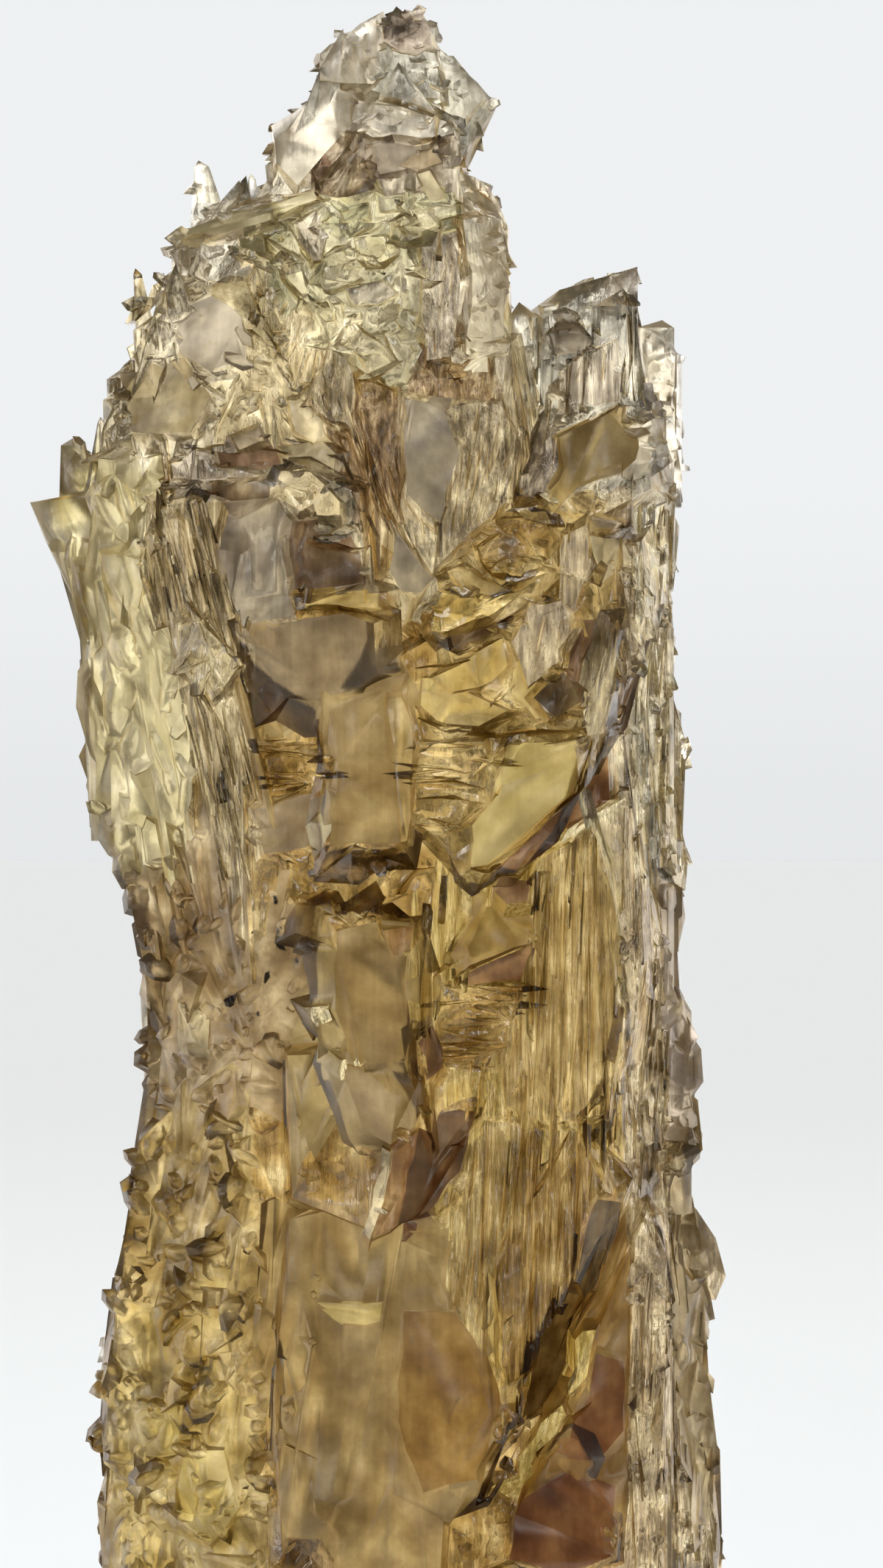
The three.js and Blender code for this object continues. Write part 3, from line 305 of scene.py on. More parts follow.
    ("honey", "ribs", [(12, 70.4), (16, 73), (17.6, 68), (17.9, 60), (17.2, 52.4), (13, 51.4), (9.8, 53),
     (9.4, 58), (11.2, 63)], 0.6, (4, 0), 2),
    # Painted shade: the sunk riser gets the darkest tone, for the dark that its steep slope shows.
    ("pitch", "smooth", [(17.8, 60), (18.6, 60), (17, 54), (15.4, 52), (15, 52.2), (16.8, 55)], -0.6),
    # the broad faces of the middle
    ("amber", "satin", [(2.4, 38), (7.4, 38), (9.4, 31.4), (7.6, 26), (3.8, 25), (2, 30)], 0.3, (2, 1)),
    ("tan", "satin", [(-2, 56), (2.6, 55.7), (4, 53.6), (3.2, 51.4), (1.4, 50.2),
     (-0.6, 51.4)], 0.5, (3, 3)),
    ("straw", "satin", [(-4, 38.4), (0.8, 38.6), (0.6, 37.2), (-2, 37)], 0.2, (0, 4)),
    # the long groove, sunk and in the darkest tones as painted shade, its bright lip and the plates to its
    # right
    ("pitch", "smooth", [(14.3, 38.9), (15.9, 38.4), (14.3, 36), (14.3, 33.6), (12.6, 30.6), (10.8, 29.4),
     (11.7, 33.4), (13.2, 36.8)], -1.7, (-10, 0)),
    ("bark", "smooth", [(16.5, 46), (18.3, 45.6), (17.4, 42), (15.9, 38.7), (14.3, 38.9),
     (15.2, 41.4)], -1.1, (-10, 0)),
    ("pitch", "flecks", [(10.7, 29.2), (12.4, 30.4), (10.4, 28), (8.6, 24.6), (7.5, 23.7), (8.4, 27),
     (10, 30)], -1, (-8, 0)),
    ("straw", "ribs", [(14.4, 35), (15.4, 36.2), (16.4, 36.4), (15.7, 33), (14.4, 31.6),
     (14.2, 33.6)], 1.1, (8, 0), 12),
    ("straw", "ribs", [(13.9, 31), (14.3, 30), (13, 28.4), (11.9, 27.4), (10.5, 24), (10.8, 27),
     (12.4, 29.6)], 1, (8, 0), 20),
    ("rust", "satin", [(16.4, 34.6), (18.4, 34), (18.4, 29), (16, 26.6), (13.4, 27.6), (15, 30),
     (15.9, 31.6)], 0.6, (3, 3)),
    ("rust", "satin", [(10.6, 24), (14, 26), (17.8, 25), (17.4, 20), (14, 19), (10, 20)], 0.7, (2, 5)),
    ("straw", "lumps", [(-14, 26.6), (-11, 27), (-9.8, 23), (-12, 20), (-15, 22)], 0.8, (2, 4)),
    ("straw", "lumps", [(-18, 29), (-14.6, 30), (-14.4, 26.4), (-17, 26)], 0.8, (2, 4)),
    ("gold", "lumps", [(-15.6, 37), (-11, 37.4), (-10.6, 34.4), (-14.6, 33.6)], 0.7, (2, 6)),
    ("gold", "lumps", [(-13.4, 40.8), (-10.6, 40.4), (-10.8, 39), (-13.2, 39)], 0.8),
    ("rust", "flecks", [(-6, 21), (-2.6, 21.4), (-3, 17), (-7, 16)], -0.6),
    ("honey", "satin", [(-5, 13), (3, 14), (6, 9), (4, 3), (-4, 3)], 0.6, (2, 2)),
    ("tan", "satin", [(7, 16), (14, 17), (17, 11), (14, 4), (8, 5)], 0.6, (4, 2)),
]

# Cuts along a path: (path, width, depth, which side is steep, from -1 for its left to 1 for its right).
GROOVES = [
    ([(-0.8, 128.1), (0.6, 127.4), (2.6, 127), (4.6, 126.3), (5.8, 125.8), (6.4, 125)], 0.5, 0.9, 0.5),
    ([(4.5, 127.1), (4.9, 126.2), (4.7, 124.2)], 0.35, 0.7, 0),
    ([(-15.4, 116.6), (-14.4, 118), (-13.2, 121)], 0.5, 0.6, 0),
    ([(-10.4, 119.3), (-7.6, 120), (-4.6, 120.5)], 0.5, 0.8, 0.6),
    ([(-9.8, 114.4), (-8.2, 112.4), (-6.9, 113)], 0.5, 0.9, 0),
    ([(-9.7, 114.2), (-8.4, 111), (-7.4, 109.2), (-6, 106.4)], 0.5, 0.8, -0.4),
    ([(-7.4, 116), (-6.6, 113.8), (-5.2, 112.1), (-3.8, 112)], 0.45, 0.8, 0.4),
    ([(-6.2, 117.9), (-5.2, 116), (-4.4, 115), (-3.6, 115.2)], 0.45, 0.8, 0.4),
    ([(-3.7, 115.5), (-2.8, 116.2), (-1.8, 116.4)], 0.35, 0.6, 0),
    ([(-1.4, 115.3), (-0.4, 114.7), (0.8, 114.7), (1.9, 115.6)], 0.45, 0.9, 0.5),
    ([(1.6, 117.2), (2.6, 116.5), (4, 116.9), (5.6, 117.2), (6.6, 116.6)], 0.5, 0.9, 0.3),
    ([(-2.2, 111.4), (-0.6, 109.8), (0.8, 108.9)], 0.45, 0.8, 0.3),
    ([(-1.2, 107.2), (0.2, 106), (1.8, 105.3)], 0.45, 0.8, 0.5),
    ([(0.2, 110.8), (1.2, 108.6), (2.2, 107)], 0.35, 0.6, 0),
    ([(1.4, 111), (2.4, 109.4), (3.2, 108)], 0.35, 0.6, 0),
    ([(3.6, 116.6), (3.7, 113), (3.6, 109.4)], 0.4, 0.7, 0.4),
    ([(6.3, 117.4), (6.5, 113), (6, 109)], 0.4, 0.7, -0.4),
    ([(6.8, 121), (8, 120.8), (9, 120)], 0.35, 0.5, 0.3),
    ([(12.9, 109.8), (14, 111.2), (16, 110.8), (17, 109.6)], 0.45, 0.8, 0.4),
    ([(18.2, 113.4), (19, 112), (19.2, 108), (18.8, 104.8)], 0.5, 0.8, 0),
    ([(11.9, 108), (12.4, 105), (11.8, 102.4)], 0.5, 0.8, 0.3),
    ([(13.6, 108.2), (13.2, 105), (12.9, 102.6)], 0.5, 0.8, -0.3),
    ([(13.5, 102), (16, 103.2), (18.2, 104.5), (20, 103.4)], 0.5, 0.7, 0.5),
    ([(2.2, 102.8), (2.3, 99), (2, 95.4)], 0.5, 0.9, 0.5),
    ([(-1, 104), (-0.4, 101), (0.2, 97), (-0.4, 94)], 0.5, 0.8, 0.2),
    ([(-6, 95.9), (-4.8, 95.6), (-3.8, 95.5)], 0.7, 1.1, 0.5),
    ([(-5.2, 89), (-2.4, 89.2), (-0.4, 88.9), (1.3, 88.2)], 0.4, 0.8, 0.5),
    ([(-15, 100), (-14.8, 97.8), (-16.3, 97), (-15.6, 94), (-17.4, 92.6), (-16, 90)], 0.6, 0.7, 0),
    ([(-14.4, 96.6), (-12.4, 93), (-10.2, 90.4)], 0.5, 0.7, 0.3),
    ([(-14.6, 91), (-12, 87.8), (-9.8, 85.8)], 0.5, 0.8, 0.3),
    ([(-14.2, 86), (-12, 82.4), (-10.4, 79.4)], 0.5, 0.8, 0.3),
    ([(-0.9, 94.6), (-0.5, 92.6), (-0.8, 90.8)], 0.5, 0.9, 0.4),
    ([(3.2, 84.8), (5.2, 85), (7.2, 85.4)], 0.5, 0.9, 0.4),
    ([(3.4, 81.2), (5.4, 80.3), (9, 79.9), (12, 80.2), (15.6, 80.2)], 0.55, 1.1, 0.4),
    ([(12, 80.6), (13.4, 81), (15.2, 81.6)], 0.4, 0.8, 0),
    ([(7.6, 94), (8, 92.6), (8.8, 91.6), (10.8, 91.2)], 0.35, 0.7, 0.3),
    ([(7.2, 70), (8.6, 70), (11, 72), (13, 73.9), (15.1, 75.6), (16.2, 79.4)], 0.7, 1.6, -0.7),
    ([(8.7, 75), (9.1, 75.6), (9.5, 76.3)], 0.35, 0.6, 0),
    ([(3.3, 76.5), (6, 76.6), (8.3, 76.1)], 0.5, 0.8, 0.5),
    ([(3.3, 75.3), (6, 75.4), (8, 75)], 0.4, 0.7, 0.5),
    ([(3.2, 74.2), (5, 73.6), (7.2, 73.6)], 0.35, 0.6, 0.5),
    ([(-7.6, 78.5), (-5.4, 78.5), (-3.4, 78.6)], 0.5, 0.7, 0.5),
    ([(-7.4, 77.2), (-4.8, 77.2)], 0.35, 0.6, 0.5),
    ([(-7.2, 76.3), (-4.9, 76.4)], 0.35, 0.6, 0.5),
    ([(-0.6, 66.6), (0.6, 67.4), (2, 68.4), (3.2, 70), (4.6, 70.2)], 0.5, 0.8, 0),
    ([(6, 62.1), (8.6, 63.3), (12, 64.8)], 0.45, 0.8, -0.4),
    ([(6, 61.2), (8, 60.8), (10.2, 60)], 0.35, 0.6, 0.3),
    ([(5.8, 60.4), (7.8, 60), (9.8, 59.4)], 0.35, 0.6, 0.3),
    ([(6, 58.2), (7.4, 57.8), (9, 57.6)], 0.4, 0.6, 0.3),
    ([(6.2, 56.4), (7.6, 55.7), (9, 55.8)], 0.4, 0.6, 0.3),
    ([(5.3, 51), (6.4, 51.3), (7.6, 50.9)], 0.35, 0.6, 0.3),
    ([(5.2, 50), (6.4, 50), (7.3, 49.8)], 0.35, 0.6, 0.3),
    ([(14.9, 52.2), (13.8, 50), (12.4, 47.4), (10.9, 45.2)], 0.45, 0.8, -0.3),
    ([(16, 31.2), (14.5, 30), (12.7, 27.2), (11.1, 25), (10.4, 23.2)], 0.5, 1, -0.5),
    ([(16, 36.4), (17, 41), (18.3, 45.4)], 0.4, 0.9, -0.5),
    ([(-7, 30), (-6.2, 28), (-4, 27)], 0.35, 0.5, 0),
    ([(18.4, 100), (18.2, 92), (18.6, 84), (18.2, 76)], 0.5, 0.8, 0),
    ([(18.4, 72), (18.2, 64), (18.8, 54)], 0.5, 0.8, 0),
    ([(19.2, 48), (19, 38), (18.8, 28), (19.4, 18)], 0.5, 0.8, 0),
]

# Small dark specks sealed under the surface: (x, z, length, slant in degrees).
SPECKS = [
    (-10.5, 60.3, 1.5, 38), (-6.8, 64.4, 1.3, -35), (-7.8, 62, 1.1, 20), (-5.5, 63.2, 0.6, -30),
    (-8.4, 59.4, 0.5, 0), (-7.1, 67.7, 0.8, -20), (-6.8, 65.5, 0.5, 10), (-8.8, 65.4, 0.4, 40),
    (-11.4, 65.3, 0.4, 0), (-4.3, 120.1, 0.5, -40),
]


# ------------------------ the body's surface

MERGE_M = 1e-6  # corners nearer than this are one
RAY_START_M = 0.3  # well outside the body


def clean_copy(source, name):
    """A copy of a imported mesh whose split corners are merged, so that it is closed."""
    mesh = source.data.copy()
    bm = bmesh.new()
    bm.from_mesh(mesh)
    bmesh.ops.remove_doubles(bm, verts=bm.verts, dist=MERGE_M)
    bm.to_mesh(mesh)
    bm.free()
    mesh.materials.clear()
    obj = bpy.data.objects.new(name, mesh)
    scene.collection.objects.link(obj)
    return obj


class Surface:
    """Finds points on the body from any side."""

    VIEWS = {"front": (0, 1, 0), "back": (0, -1, 0), "left": (1, 0, 0), "right": (-1, 0, 0),
             "top": (0, 0, -1)}

    def __init__(self, obj):
        bm = bmesh.new()
        bm.from_mesh(obj.data)
        self.tree = BVHTree.FromBMesh(bm)
        bm.free()

    def hit(self, side, a, z):
        """A side's point, its outward normal and the way to the viewer. a is x, or y on the left and right,
        and from the top z is y."""
        ray = Vector(self.VIEWS[side])
        if side in ("front", "back"):
            start = Vector((a * MM, 0, z * MM))
        elif side == "top":
            start = Vector((a * MM, z * MM, 0))
        else:
            start = Vector((0, a * MM, z * MM))
        point, normal, _, _ = self.tree.ray_cast(start - ray * RAY_START_M, ray)
        if point is None:
            return None
        return np.array(point) / MM, np.array(normal), -np.array(ray)

    def span(self, side, a, z, tall, angle):
        """The two surface points under the ends of a long shape, or None if either end is off the body."""
        run = math.tan(math.radians(angle)) * tall / 2
        ends = [self.hit(side, a + sign * run, z + sign * tall / 2) for sign in (-1, 1)]
        return None if None in ends else [end[0] for end in ends]

    def depth(self, x, z):
        """The y of the best side at a place, or None off the body."""
        found = self.hit("front", x, z)
        return None if found is None else found[0][1]


def edges(outline):
    """The pairs of neighbouring points round a closed outline."""
    return zip(outline, outline[1:] + outline[:1])


def inside(outline, x, z):
    """Which of the places (x, z) lie in a closed outline."""
    result = np.zeros(np.shape(x), bool)
    for (x0, z0), (x1, z1) in edges(outline):
        if z0 != z1:
            result ^= ((z0 > z) != (z1 > z)) & (x < x0 + (z - z0) * (x1 - x0) / (z1 - z0))
    return result


# ------------------------ small shapes

# Each shape is (points, faces). A point is (across, outward, along), and the surface is at outward = 0. n
# counts the corners of a ring. The other plain numbers are shares of a shape's own sizes, or of a step round
# its ring.

def band(n, ring):
    """The quads between a ring of n points and the next one."""
    a, b = ring * n, (ring + 1) * n
    return [(a + i, a + (i + 1) % n, b + (i + 1) % n, b + i) for i in range(n)]


def frustum(base, crest):
    """A closed shape between two rings of the same count."""
    n = len(base)
    faces = [tuple(range(n - 1, -1, -1)), tuple(range(n, 2 * n))] + band(n, 0)
    return np.array(list(base) + list(crest), float), faces


def pointed(points, n):
    """A closed shape of rings of n points under the last point, its apex."""
    rings = len(points) // n
    top = (rings - 1) * n
    faces = [tuple(range(n - 1, -1, -1))]
    for ring in range(rings - 1):
        faces += band(n, ring)
    faces += [(top + i, top + (i + 1) % n, top + n) for i in range(n)]
    return np.array(points, float), faces


def random_turn():
    return rng.uniform(0, 2 * math.pi)


def uneven_ring(n, turn, stray):
    """n angles round a ring, each off its even place by up to stray steps."""
    return turn + 2 * math.pi * (np.arange(n) + rng.uniform(-stray, stray, n)) / n


def wedge(wide, tall, level, other, skew):
    """A long shape with a rectangle at one level and an edge at the other."""
    w, h = wide / 2, tall / 2
    lower_end, upper_end = h * rng.uniform(0.5, 0.95, 2)
    lower_level, upper_level = level * rng.uniform(0.7, 1.0, 2)
    shift = skew * w * 0.9
    points = [(-w, other, -h), (w, other, -h), (w, other, h), (-w, other, h)]
    points += [(shift, lower_level, -lower_end), (shift, upper_level, upper_end)]
    return np.array(points), [(3, 2, 1, 0), (0, 1, 4), (1, 2, 5, 4), (2, 3, 5), (3, 0, 4, 5)]


def ridge(wide, tall, proud, root, skew):
    """A sharp long ridge that stands out of the surface."""
    return wedge(wide, tall, proud, -root, skew)


def rib_cut(wide, tall, deep, mouth, skew):
    """A sharp long furrow, to cut away."""
    return wedge(wide * (1 + mouth / deep), tall * (1 + 0.3 * mouth / deep), -deep, mouth, skew)


def lath(wide, tall, proud, root, skew):
    """A long ridge with a narrow flat crest."""
    w, h = wide / 2, tall / 2
    crest = rng.uniform(0.25, 0.8)
    shift = skew * w * (1 - crest)
    left, right = shift - w * crest, shift + w * crest
    one, other = h * rng.uniform(0.55, 0.95, 2)
    fall = rng.uniform(-0.35, 0.35) * proud
    return frustum(
        [(-w, -root, -h), (w, -root, -h), (w, -root, h), (-w, -root, h)],
        [(left, proud - fall, -one), (right, proud + fall, -other),
         (right, proud + fall * 0.5, one), (left, proud - fall, other)],
    )


def scale(wide, tall, proud, root, skew):
    """A flat flake that dives into the surface at its top and stands free along its lower edge."""
    n = rng.integers(5, 7)
    angles = uneven_ring(n, random_turn(), 0.3)
    u = np.cos(angles) * wide / 2 + skew * np.sin(angles) * tall / 4
    v = np.sin(angles) * tall / 2
    out = proud * (0.5 - 0.75 * v / (tall / 2))
    return frustum(np.stack([u * 1.08, np.full(n, -root), v * 1.08], 1), np.stack([u, out, v], 1))


def grain(wide, tall, proud, root, skew):
    """An irregular many-faced lump."""
    n = 5
    turn = random_turn()
    points = []
    for out, spread in ((0.0, 1.0), (0.75, 0.62)):
        angles = uneven_ring(n, turn, 0.25)
        reach = spread * rng.uniform(0.8, 1.1, n)
        level = proud * out * rng.uniform(0.75, 1.1, n)
        points += list(zip(np.cos(angles) * wide / 2 * reach, level, np.sin(angles) * tall / 2 * reach))
    root_ring = [(p[0] * 0.9, -root, p[2] * 0.9) for p in points[:n]]
    apex = (rng.uniform(-0.15, 0.15) * wide, proud, rng.uniform(-0.15, 0.15) * tall)
    return pointed(root_ring + points + [apex], n)


def dome(wide, tall, proud, root, skew):
    """A soft rounded lump."""
    n = 8
    angles = random_turn() + 2 * math.pi * np.arange(n) / n
    swell = rng.uniform(0.85, 1.15, n)
    points = []
    for level, spread in ((-root, 1.5), (0.0, 1.0), (0.42, 0.76), (0.8, 0.44)):
        u = np.cos(angles) * wide / 2 * spread * swell
        v = np.sin(angles) * tall / 2 * spread * swell
        out = level * proud if level > 0 else level
        points += list(zip(u + skew * v * wide / tall / 2, np.full(n, out), v))
    return pointed(points + [(0, proud, 0)], n)


def pit(wide, tall, deep, mouth, skew):
    """A pocket with sloping walls and a short floor, to cut away."""
    n = rng.integers(4, 6)
    angles = uneven_ring(n, random_turn(), 0.25)
    u = np.cos(angles) * wide / 2 + skew * np.sin(angles) * tall / 3
    v = np.sin(angles) * tall / 2
    shift_u, shift_v = rng.uniform(-0.2, 0.2) * wide, rng.uniform(-0.2, 0.2) * tall
    grow = 1 + 0.7 * mouth / deep
    floor = np.stack([u * 0.3 + shift_u, np.full(n, -deep), v * 0.3 + shift_v], 1)
    return frustum(floor, np.stack([u * grow, np.full(n, mouth), v * grow], 1))


CUTTERS = (rib_cut, pit)


# ------------------------ crowds of shapes

def faced_out(points, faces):
    """The faces of a closed shape, all turned outwards."""
    volume = 0.0
    for face in faces:
        p0 = points[face[0]]
        for i in range(1, len(face) - 1):
            volume += p0.dot(np.cross(points[face[i]], points[face[i + 1]]))
    return faces if volume > 0 else [face[::-1] for face in faces]


def new_object(name, points, faces):
    """A new mesh object in the scene, from points in millimetres."""
    mesh = bpy.data.meshes.new(name)
    mesh.from_pydata((points * MM).tolist(), [], faces)
    obj = bpy.data.objects.new(name, mesh)
    scene.collection.objects.link(obj)
    return obj


class Crowd:
    """Shapes sorted into batches in which no two touch, so that each batch is one clean operand."""

    GAP = 0.01

    def __init__(self):
        self.batches = []

    def add(self, points, faces):
        faces = faced_out(points - points.mean(0), faces)
        lo, hi = points.min(0) - self.GAP, points.max(0) + self.GAP
        for batch in self.batches:
            boxes = batch["boxes"]
            if np.any((boxes[:, 0] > hi) | (boxes[:, 1] < lo), axis=1).all():
                break
        else:
            batch = {"boxes": np.zeros((0, 2, 3)), "points": [], "faces": [], "count": 0}
            self.batches.append(batch)
        start = batch["count"]
        batch["boxes"] = np.concatenate([batch["boxes"], [[lo, hi]]])
        batch["points"].append(points)
        batch["faces"] += [tuple(start + i for i in f) for f in faces]
        batch["count"] += len(points)

    def apply(self, obj, operation):
        """Joins or cuts every batch, and gives obj the mesh that comes out."""
        operands = []
        for batch in self.batches:
            operand = new_object("batch", np.concatenate(batch["points"]), batch["faces"])
            step = obj.modifiers.new("batch", "BOOLEAN")
            step.operation = operation
            step.solver = "MANIFOLD"
            step.object = operand
            operands.append(operand)
        bpy.context.view_layer.update()
        evaluated = obj.evaluated_get(bpy.context.evaluated_depsgraph_get())
        old, mesh = obj.data, bpy.data.meshes.new_from_object(evaluated)
        obj.modifiers.clear()
        obj.data = mesh
        bpy.data.meshes.remove(old)
        for operand in operands:
            data = operand.data
            bpy.data.objects.remove(operand)
            bpy.data.meshes.remove(data)


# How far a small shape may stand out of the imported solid's box at its sides and its top, and how far it
# stays off the floor.
PAST_SIDES, PAST_TOP, OFF_FLOOR = 0.6, 0.4, 0.02
LIMIT_LO = np.array(cad_lo) / MM + np.array([-PAST_SIDES, -PAST_SIDES, OFF_FLOOR])
LIMIT_HI = np.array(cad_hi) / MM + np.array([PAST_SIDES, PAST_SIDES, PAST_TOP])
LONG_FROM = 2  # a shape longer than this follows the surface from end to end
MOST_SLOPE = 0.35  # how far such a shape may lead in or out, as a share of its length
BEDDING = 0.5  # the share of the surface's bulge between its ends by which it lies deeper
LEAST_FACING = 0.25  # the cosine between a side's view and the surface, under which nothing is put there
SOFT = 0.3  # how far a shape turns from the surface's own normal towards its side's view
SKEW = 0.8  # how far a shape may be sheared
NEARLY_LEVEL = 0.93  # the part of a normal along z from which a face has no way up of its own


def unit(vector):
    return vector / np.linalg.norm(vector)


def oriented(points, origin, normal, outward, lean, long_way):
    """Turns a small shape so that it lies on the surface, its long way up the crystal and leaning by lean."""
    n = normal * (1 - SOFT) + outward * SOFT
    if long_way is not None:
        w = unit(long_way)
        n = unit(n - w * n.dot(w))
        return origin + points @ np.stack([np.cross(w, n), n, w])
    n = unit(n)
    aside, ahead = math.sin(math.radians(lean)), math.cos(math.radians(lean))
    if abs(n[2]) > NEARLY_LEVEL:
        up = np.array([ahead, aside, 0.0])
    elif outward[0]:
        up = np.array([0, aside, ahead])
    else:
        up = np.array([aside, 0, ahead])
    w = unit(up - n * up.dot(n))
    return origin + points @ np.stack([np.cross(w, n), n, w])


def place(surface, crowd, shape, side, a, z, size, angle, root):
    """Puts one small shape on one side of the crystal."""
    skew = rng.uniform(-SKEW, SKEW)
    found = surface.hit(side, a, z)
    if found is None:
        return
    origin, normal, outward = found
    if normal.dot(outward) < LEAST_FACING:
        return
    long_way = None
    if size[1] > LONG_FROM and side != "top":
        ends = surface.span(side, a, z, size[1], angle)
        if ends is None:
            return
        long_way = ends[1] - ends[0]
        if abs(long_way.dot(outward)) > MOST_SLOPE * size[1]:
            return
        middle = (ends[0] + ends[1]) / 2
        origin = origin + outward * min(middle.dot(outward) - origin.dot(outward), 0) * BEDDING
    points, faces = shape(*size, root, skew)
    points = oriented(points, origin, normal, outward, angle, long_way)
    if (points >= LIMIT_LO).all() and (points <= LIMIT_HI).all():
        crowd.add(points, faces)


def size_from(ranges):
    return [rng.uniform(*span) for span in ranges]


def scatter(surface, crowd, rows, root):
    """Puts small shapes over the hidden sides. root is how far they reach through the surface."""
    for shape, count, side, a_range, z_range, wide, tall, proud, spread in rows:
        for _ in range(count):
            a, z = rng.uniform(*a_range), rng.uniform(*z_range)
            size = size_from((wide, tall, proud))
            place(surface, crowd, shape, side, a, z, size, spread * rng.normal(), root)


# ------------------------ faces and grooves laid out one by one

RAGGED_STEP = 1.6  # the length of the short edges
RAGGED_STRAY, RAGGED_SHIFT = 0.22, 0.3  # how far their ends stray sideways, and along the edge in steps
FACE_ROOT = 2.2  # how far a raised face's block reaches into the body
FACE_MOUTH, GROOVE_MOUTH = 1.4, 1.2  # how far a pocket or a groove is cut out in front of the surface
FLARE = 1.5  # how far a face's walls spread
SATIN_FLARE = 2.5  # the walls round the smooth windows are flatter
FLARE_RANGE = (0.6, 1.3)  # the share of it at each corner
FLARE_OFF_BODY = 0.1  # the share that is left where a wall would miss the body
LIE_RINGS = (0.9, 0.55, 0.2)  # where a face's surface is measured, as shares of its outline
GROOVE_END, GROOVE_RANGE = 0.3, (0.7, 1.0)  # the share of a groove's size at its ends, and between them
MOST_LIE = np.array([0.7, 0.3])  # the steepest slopes along x and z that a flat face follows
FEWEST_PLACES = 4
FRONT_SHARE = 30  # the percentage of the surface that a face lies behind before it is raised or sunk


def anticlockwise(outline):
    area = sum(x0 * z1 - x1 * z0 for (x0, z0), (x1, z1) in edges(outline))
    return outline if area > 0 else outline[::-1]


def ragged(outline):
    """The outline with its long edges broken into short ones that stray a little."""
    broken = []
    for (x0, z0), (x1, z1) in edges(outline):
        long = math.hypot(x1 - x0, z1 - z0)
        parts = max(1, round(long / RAGGED_STEP))
        broken.append((x0, z0))
        for k in range(1, parts):
            share = (k + rng.uniform(-RAGGED_SHIFT, RAGGED_SHIFT)) / parts
            stray = rng.uniform(-1, 1) * RAGGED_STRAY
            broken.append((x0 + (x1 - x0) * share - (z1 - z0) / long * stray,
                           z0 + (z1 - z0) * share + (x1 - x0) / long * stray))
    return broken


def lie(surface, outline):
    """The plane that the surface nearly follows in an outline: its middle, the y there, and its slopes."""
    ring = np.array(outline, float)
    centre = ring.mean(0)
    places = np.concatenate([ring * share + centre * (1 - share) for share in LIE_RINGS])
    depths = [(x, z, surface.depth(x, z)) for x, z in places]
    known = np.array([d for d in depths if d[2] is not None])
    if len(known) < FEWEST_PLACES:
        return None
    flat = np.stack([np.ones(len(known)), known[:, 0] - centre[0], known[:, 1] - centre[1]], 1)
    slopes = np.linalg.lstsq(flat, known[:, 2], rcond=None)[0][1:]
    slope_x, slope_z = np.clip(slopes, -MOST_LIE, MOST_LIE)
    rest = known[:, 2] - flat[:, 1] * slope_x - flat[:, 2] * slope_z
    return centre, np.percentile(rest, FRONT_SHARE), slope_x, slope_z


def flat_face(surface, patch):
    """A flat face: raised on a block with steep walls, or the floor of a pocket if proud is below 0."""
    ring = anticlockwise(patch.outline)
    found = lie(surface, ring)
    if found is None:
        return None
    centre, y0, slope_x, slope_z = found
    slope_x -= math.tan(math.radians(patch.tilt[0]))
    slope_z += math.tan(math.radians(patch.tilt[1]))
    flare = SATIN_FLARE if patch.finish == "satin" else FLARE
    face, far = [], []
    for x, z in ragged(ring):
        y = y0 + slope_x * (x - centre[0]) + slope_z * (z - centre[1]) - patch.proud
        away = np.array([x - centre[0], z - centre[1]])
        away *= flare * rng.uniform(*FLARE_RANGE) / np.linalg.norm(away)
        if surface.depth(x + away[0], z + away[1]) is None:
            away *= FLARE_OFF_BODY
        face.append((x, y, z))
        other = y + FACE_ROOT if patch.proud > 0 else y + patch.proud - FACE_MOUTH
        far.append((x + away[0], other, z + away[1]))
    return frustum(far, face) if patch.proud > 0 else frustum(face, far)


def groove(surface, path, wide, deep, steep):
    """The closed pieces of a V-shaped cut along a path, which narrows at both its ends."""
    path = np.array(path, float)
    sections = []
    for i, (x, z) in enumerate(path):
        ahead = unit(path[min(i + 1, len(path) - 1)] - path[max(i - 1, 0)])
        across = np.array([ahead[1], -ahead[0]])
        share = GROOVE_END if i in (0, len(path) - 1) else rng.uniform(*GROOVE_RANGE)
        y = surface.depth(x, z)
        if y is None:
            return []
        half = wide / 2 * share * (1 + GROOVE_MOUTH / deep)
        floor = np.array([x, z]) + across * steep * wide / 2
        sections.append([
            (floor[0], y + deep * share, floor[1]),
            (x + across[0] * half, y - GROOVE_MOUTH, z + across[1] * half),
            (x - across[0] * half, y - GROOVE_MOUTH, z - across[1] * half),
        ])
    return [frustum(a, b) for a, b in zip(sections, sections[1:])]


def lay_out(obj, raised):
    """Raises the patches that stand proud, or else cuts the sunken ones and the grooves."""
    crowd = Crowd()
    surface = Surface(obj)
    made = [flat_face(surface, patch) for patch in PATCHES if patch.proud and (patch.proud > 0) == raised]
    if not raised:
        made += [piece for row in GROOVES for piece in groove(surface, *row)]
    for shape in made:
        if shape is not None:
            crowd.add(*shape)
    crowd.apply(obj, "UNION" if raised else "DIFFERENCE")


# ------------------------ the map of the best side

CELL, MAP_MARGIN = 0.25, 1
MAP_X = np.arange(LIMIT_LO[0] - MAP_MARGIN, LIMIT_HI[0] + MAP_MARGIN, CELL)
MAP_Z = np.arange(0, cad_hi.z / MM + MAP_MARGIN, CELL)
PATCHES = [Patch(*row) for row in REGIONS + FACES]
owner = np.zeros((len(MAP_X), len(MAP_Z)), int)
for index, patch in enumerate(PATCHES):
    owner[inside(patch.outline, *np.meshgrid(MAP_X, MAP_Z, indexing="ij"))] = index


def cell_at(x, z):
    """The map's cells over the places (x, z)."""
    i = np.clip(((x - MAP_X[0]) / CELL + 0.5).astype(int), 0, len(MAP_X) - 1)
    j = np.clip((z / CELL + 0.5).astype(int), 0, len(MAP_Z) - 1)
    return i, j


FAN_AT = (5.1, 84)  # where the fibres under the spire meet
FAN_CLOSEST = 4


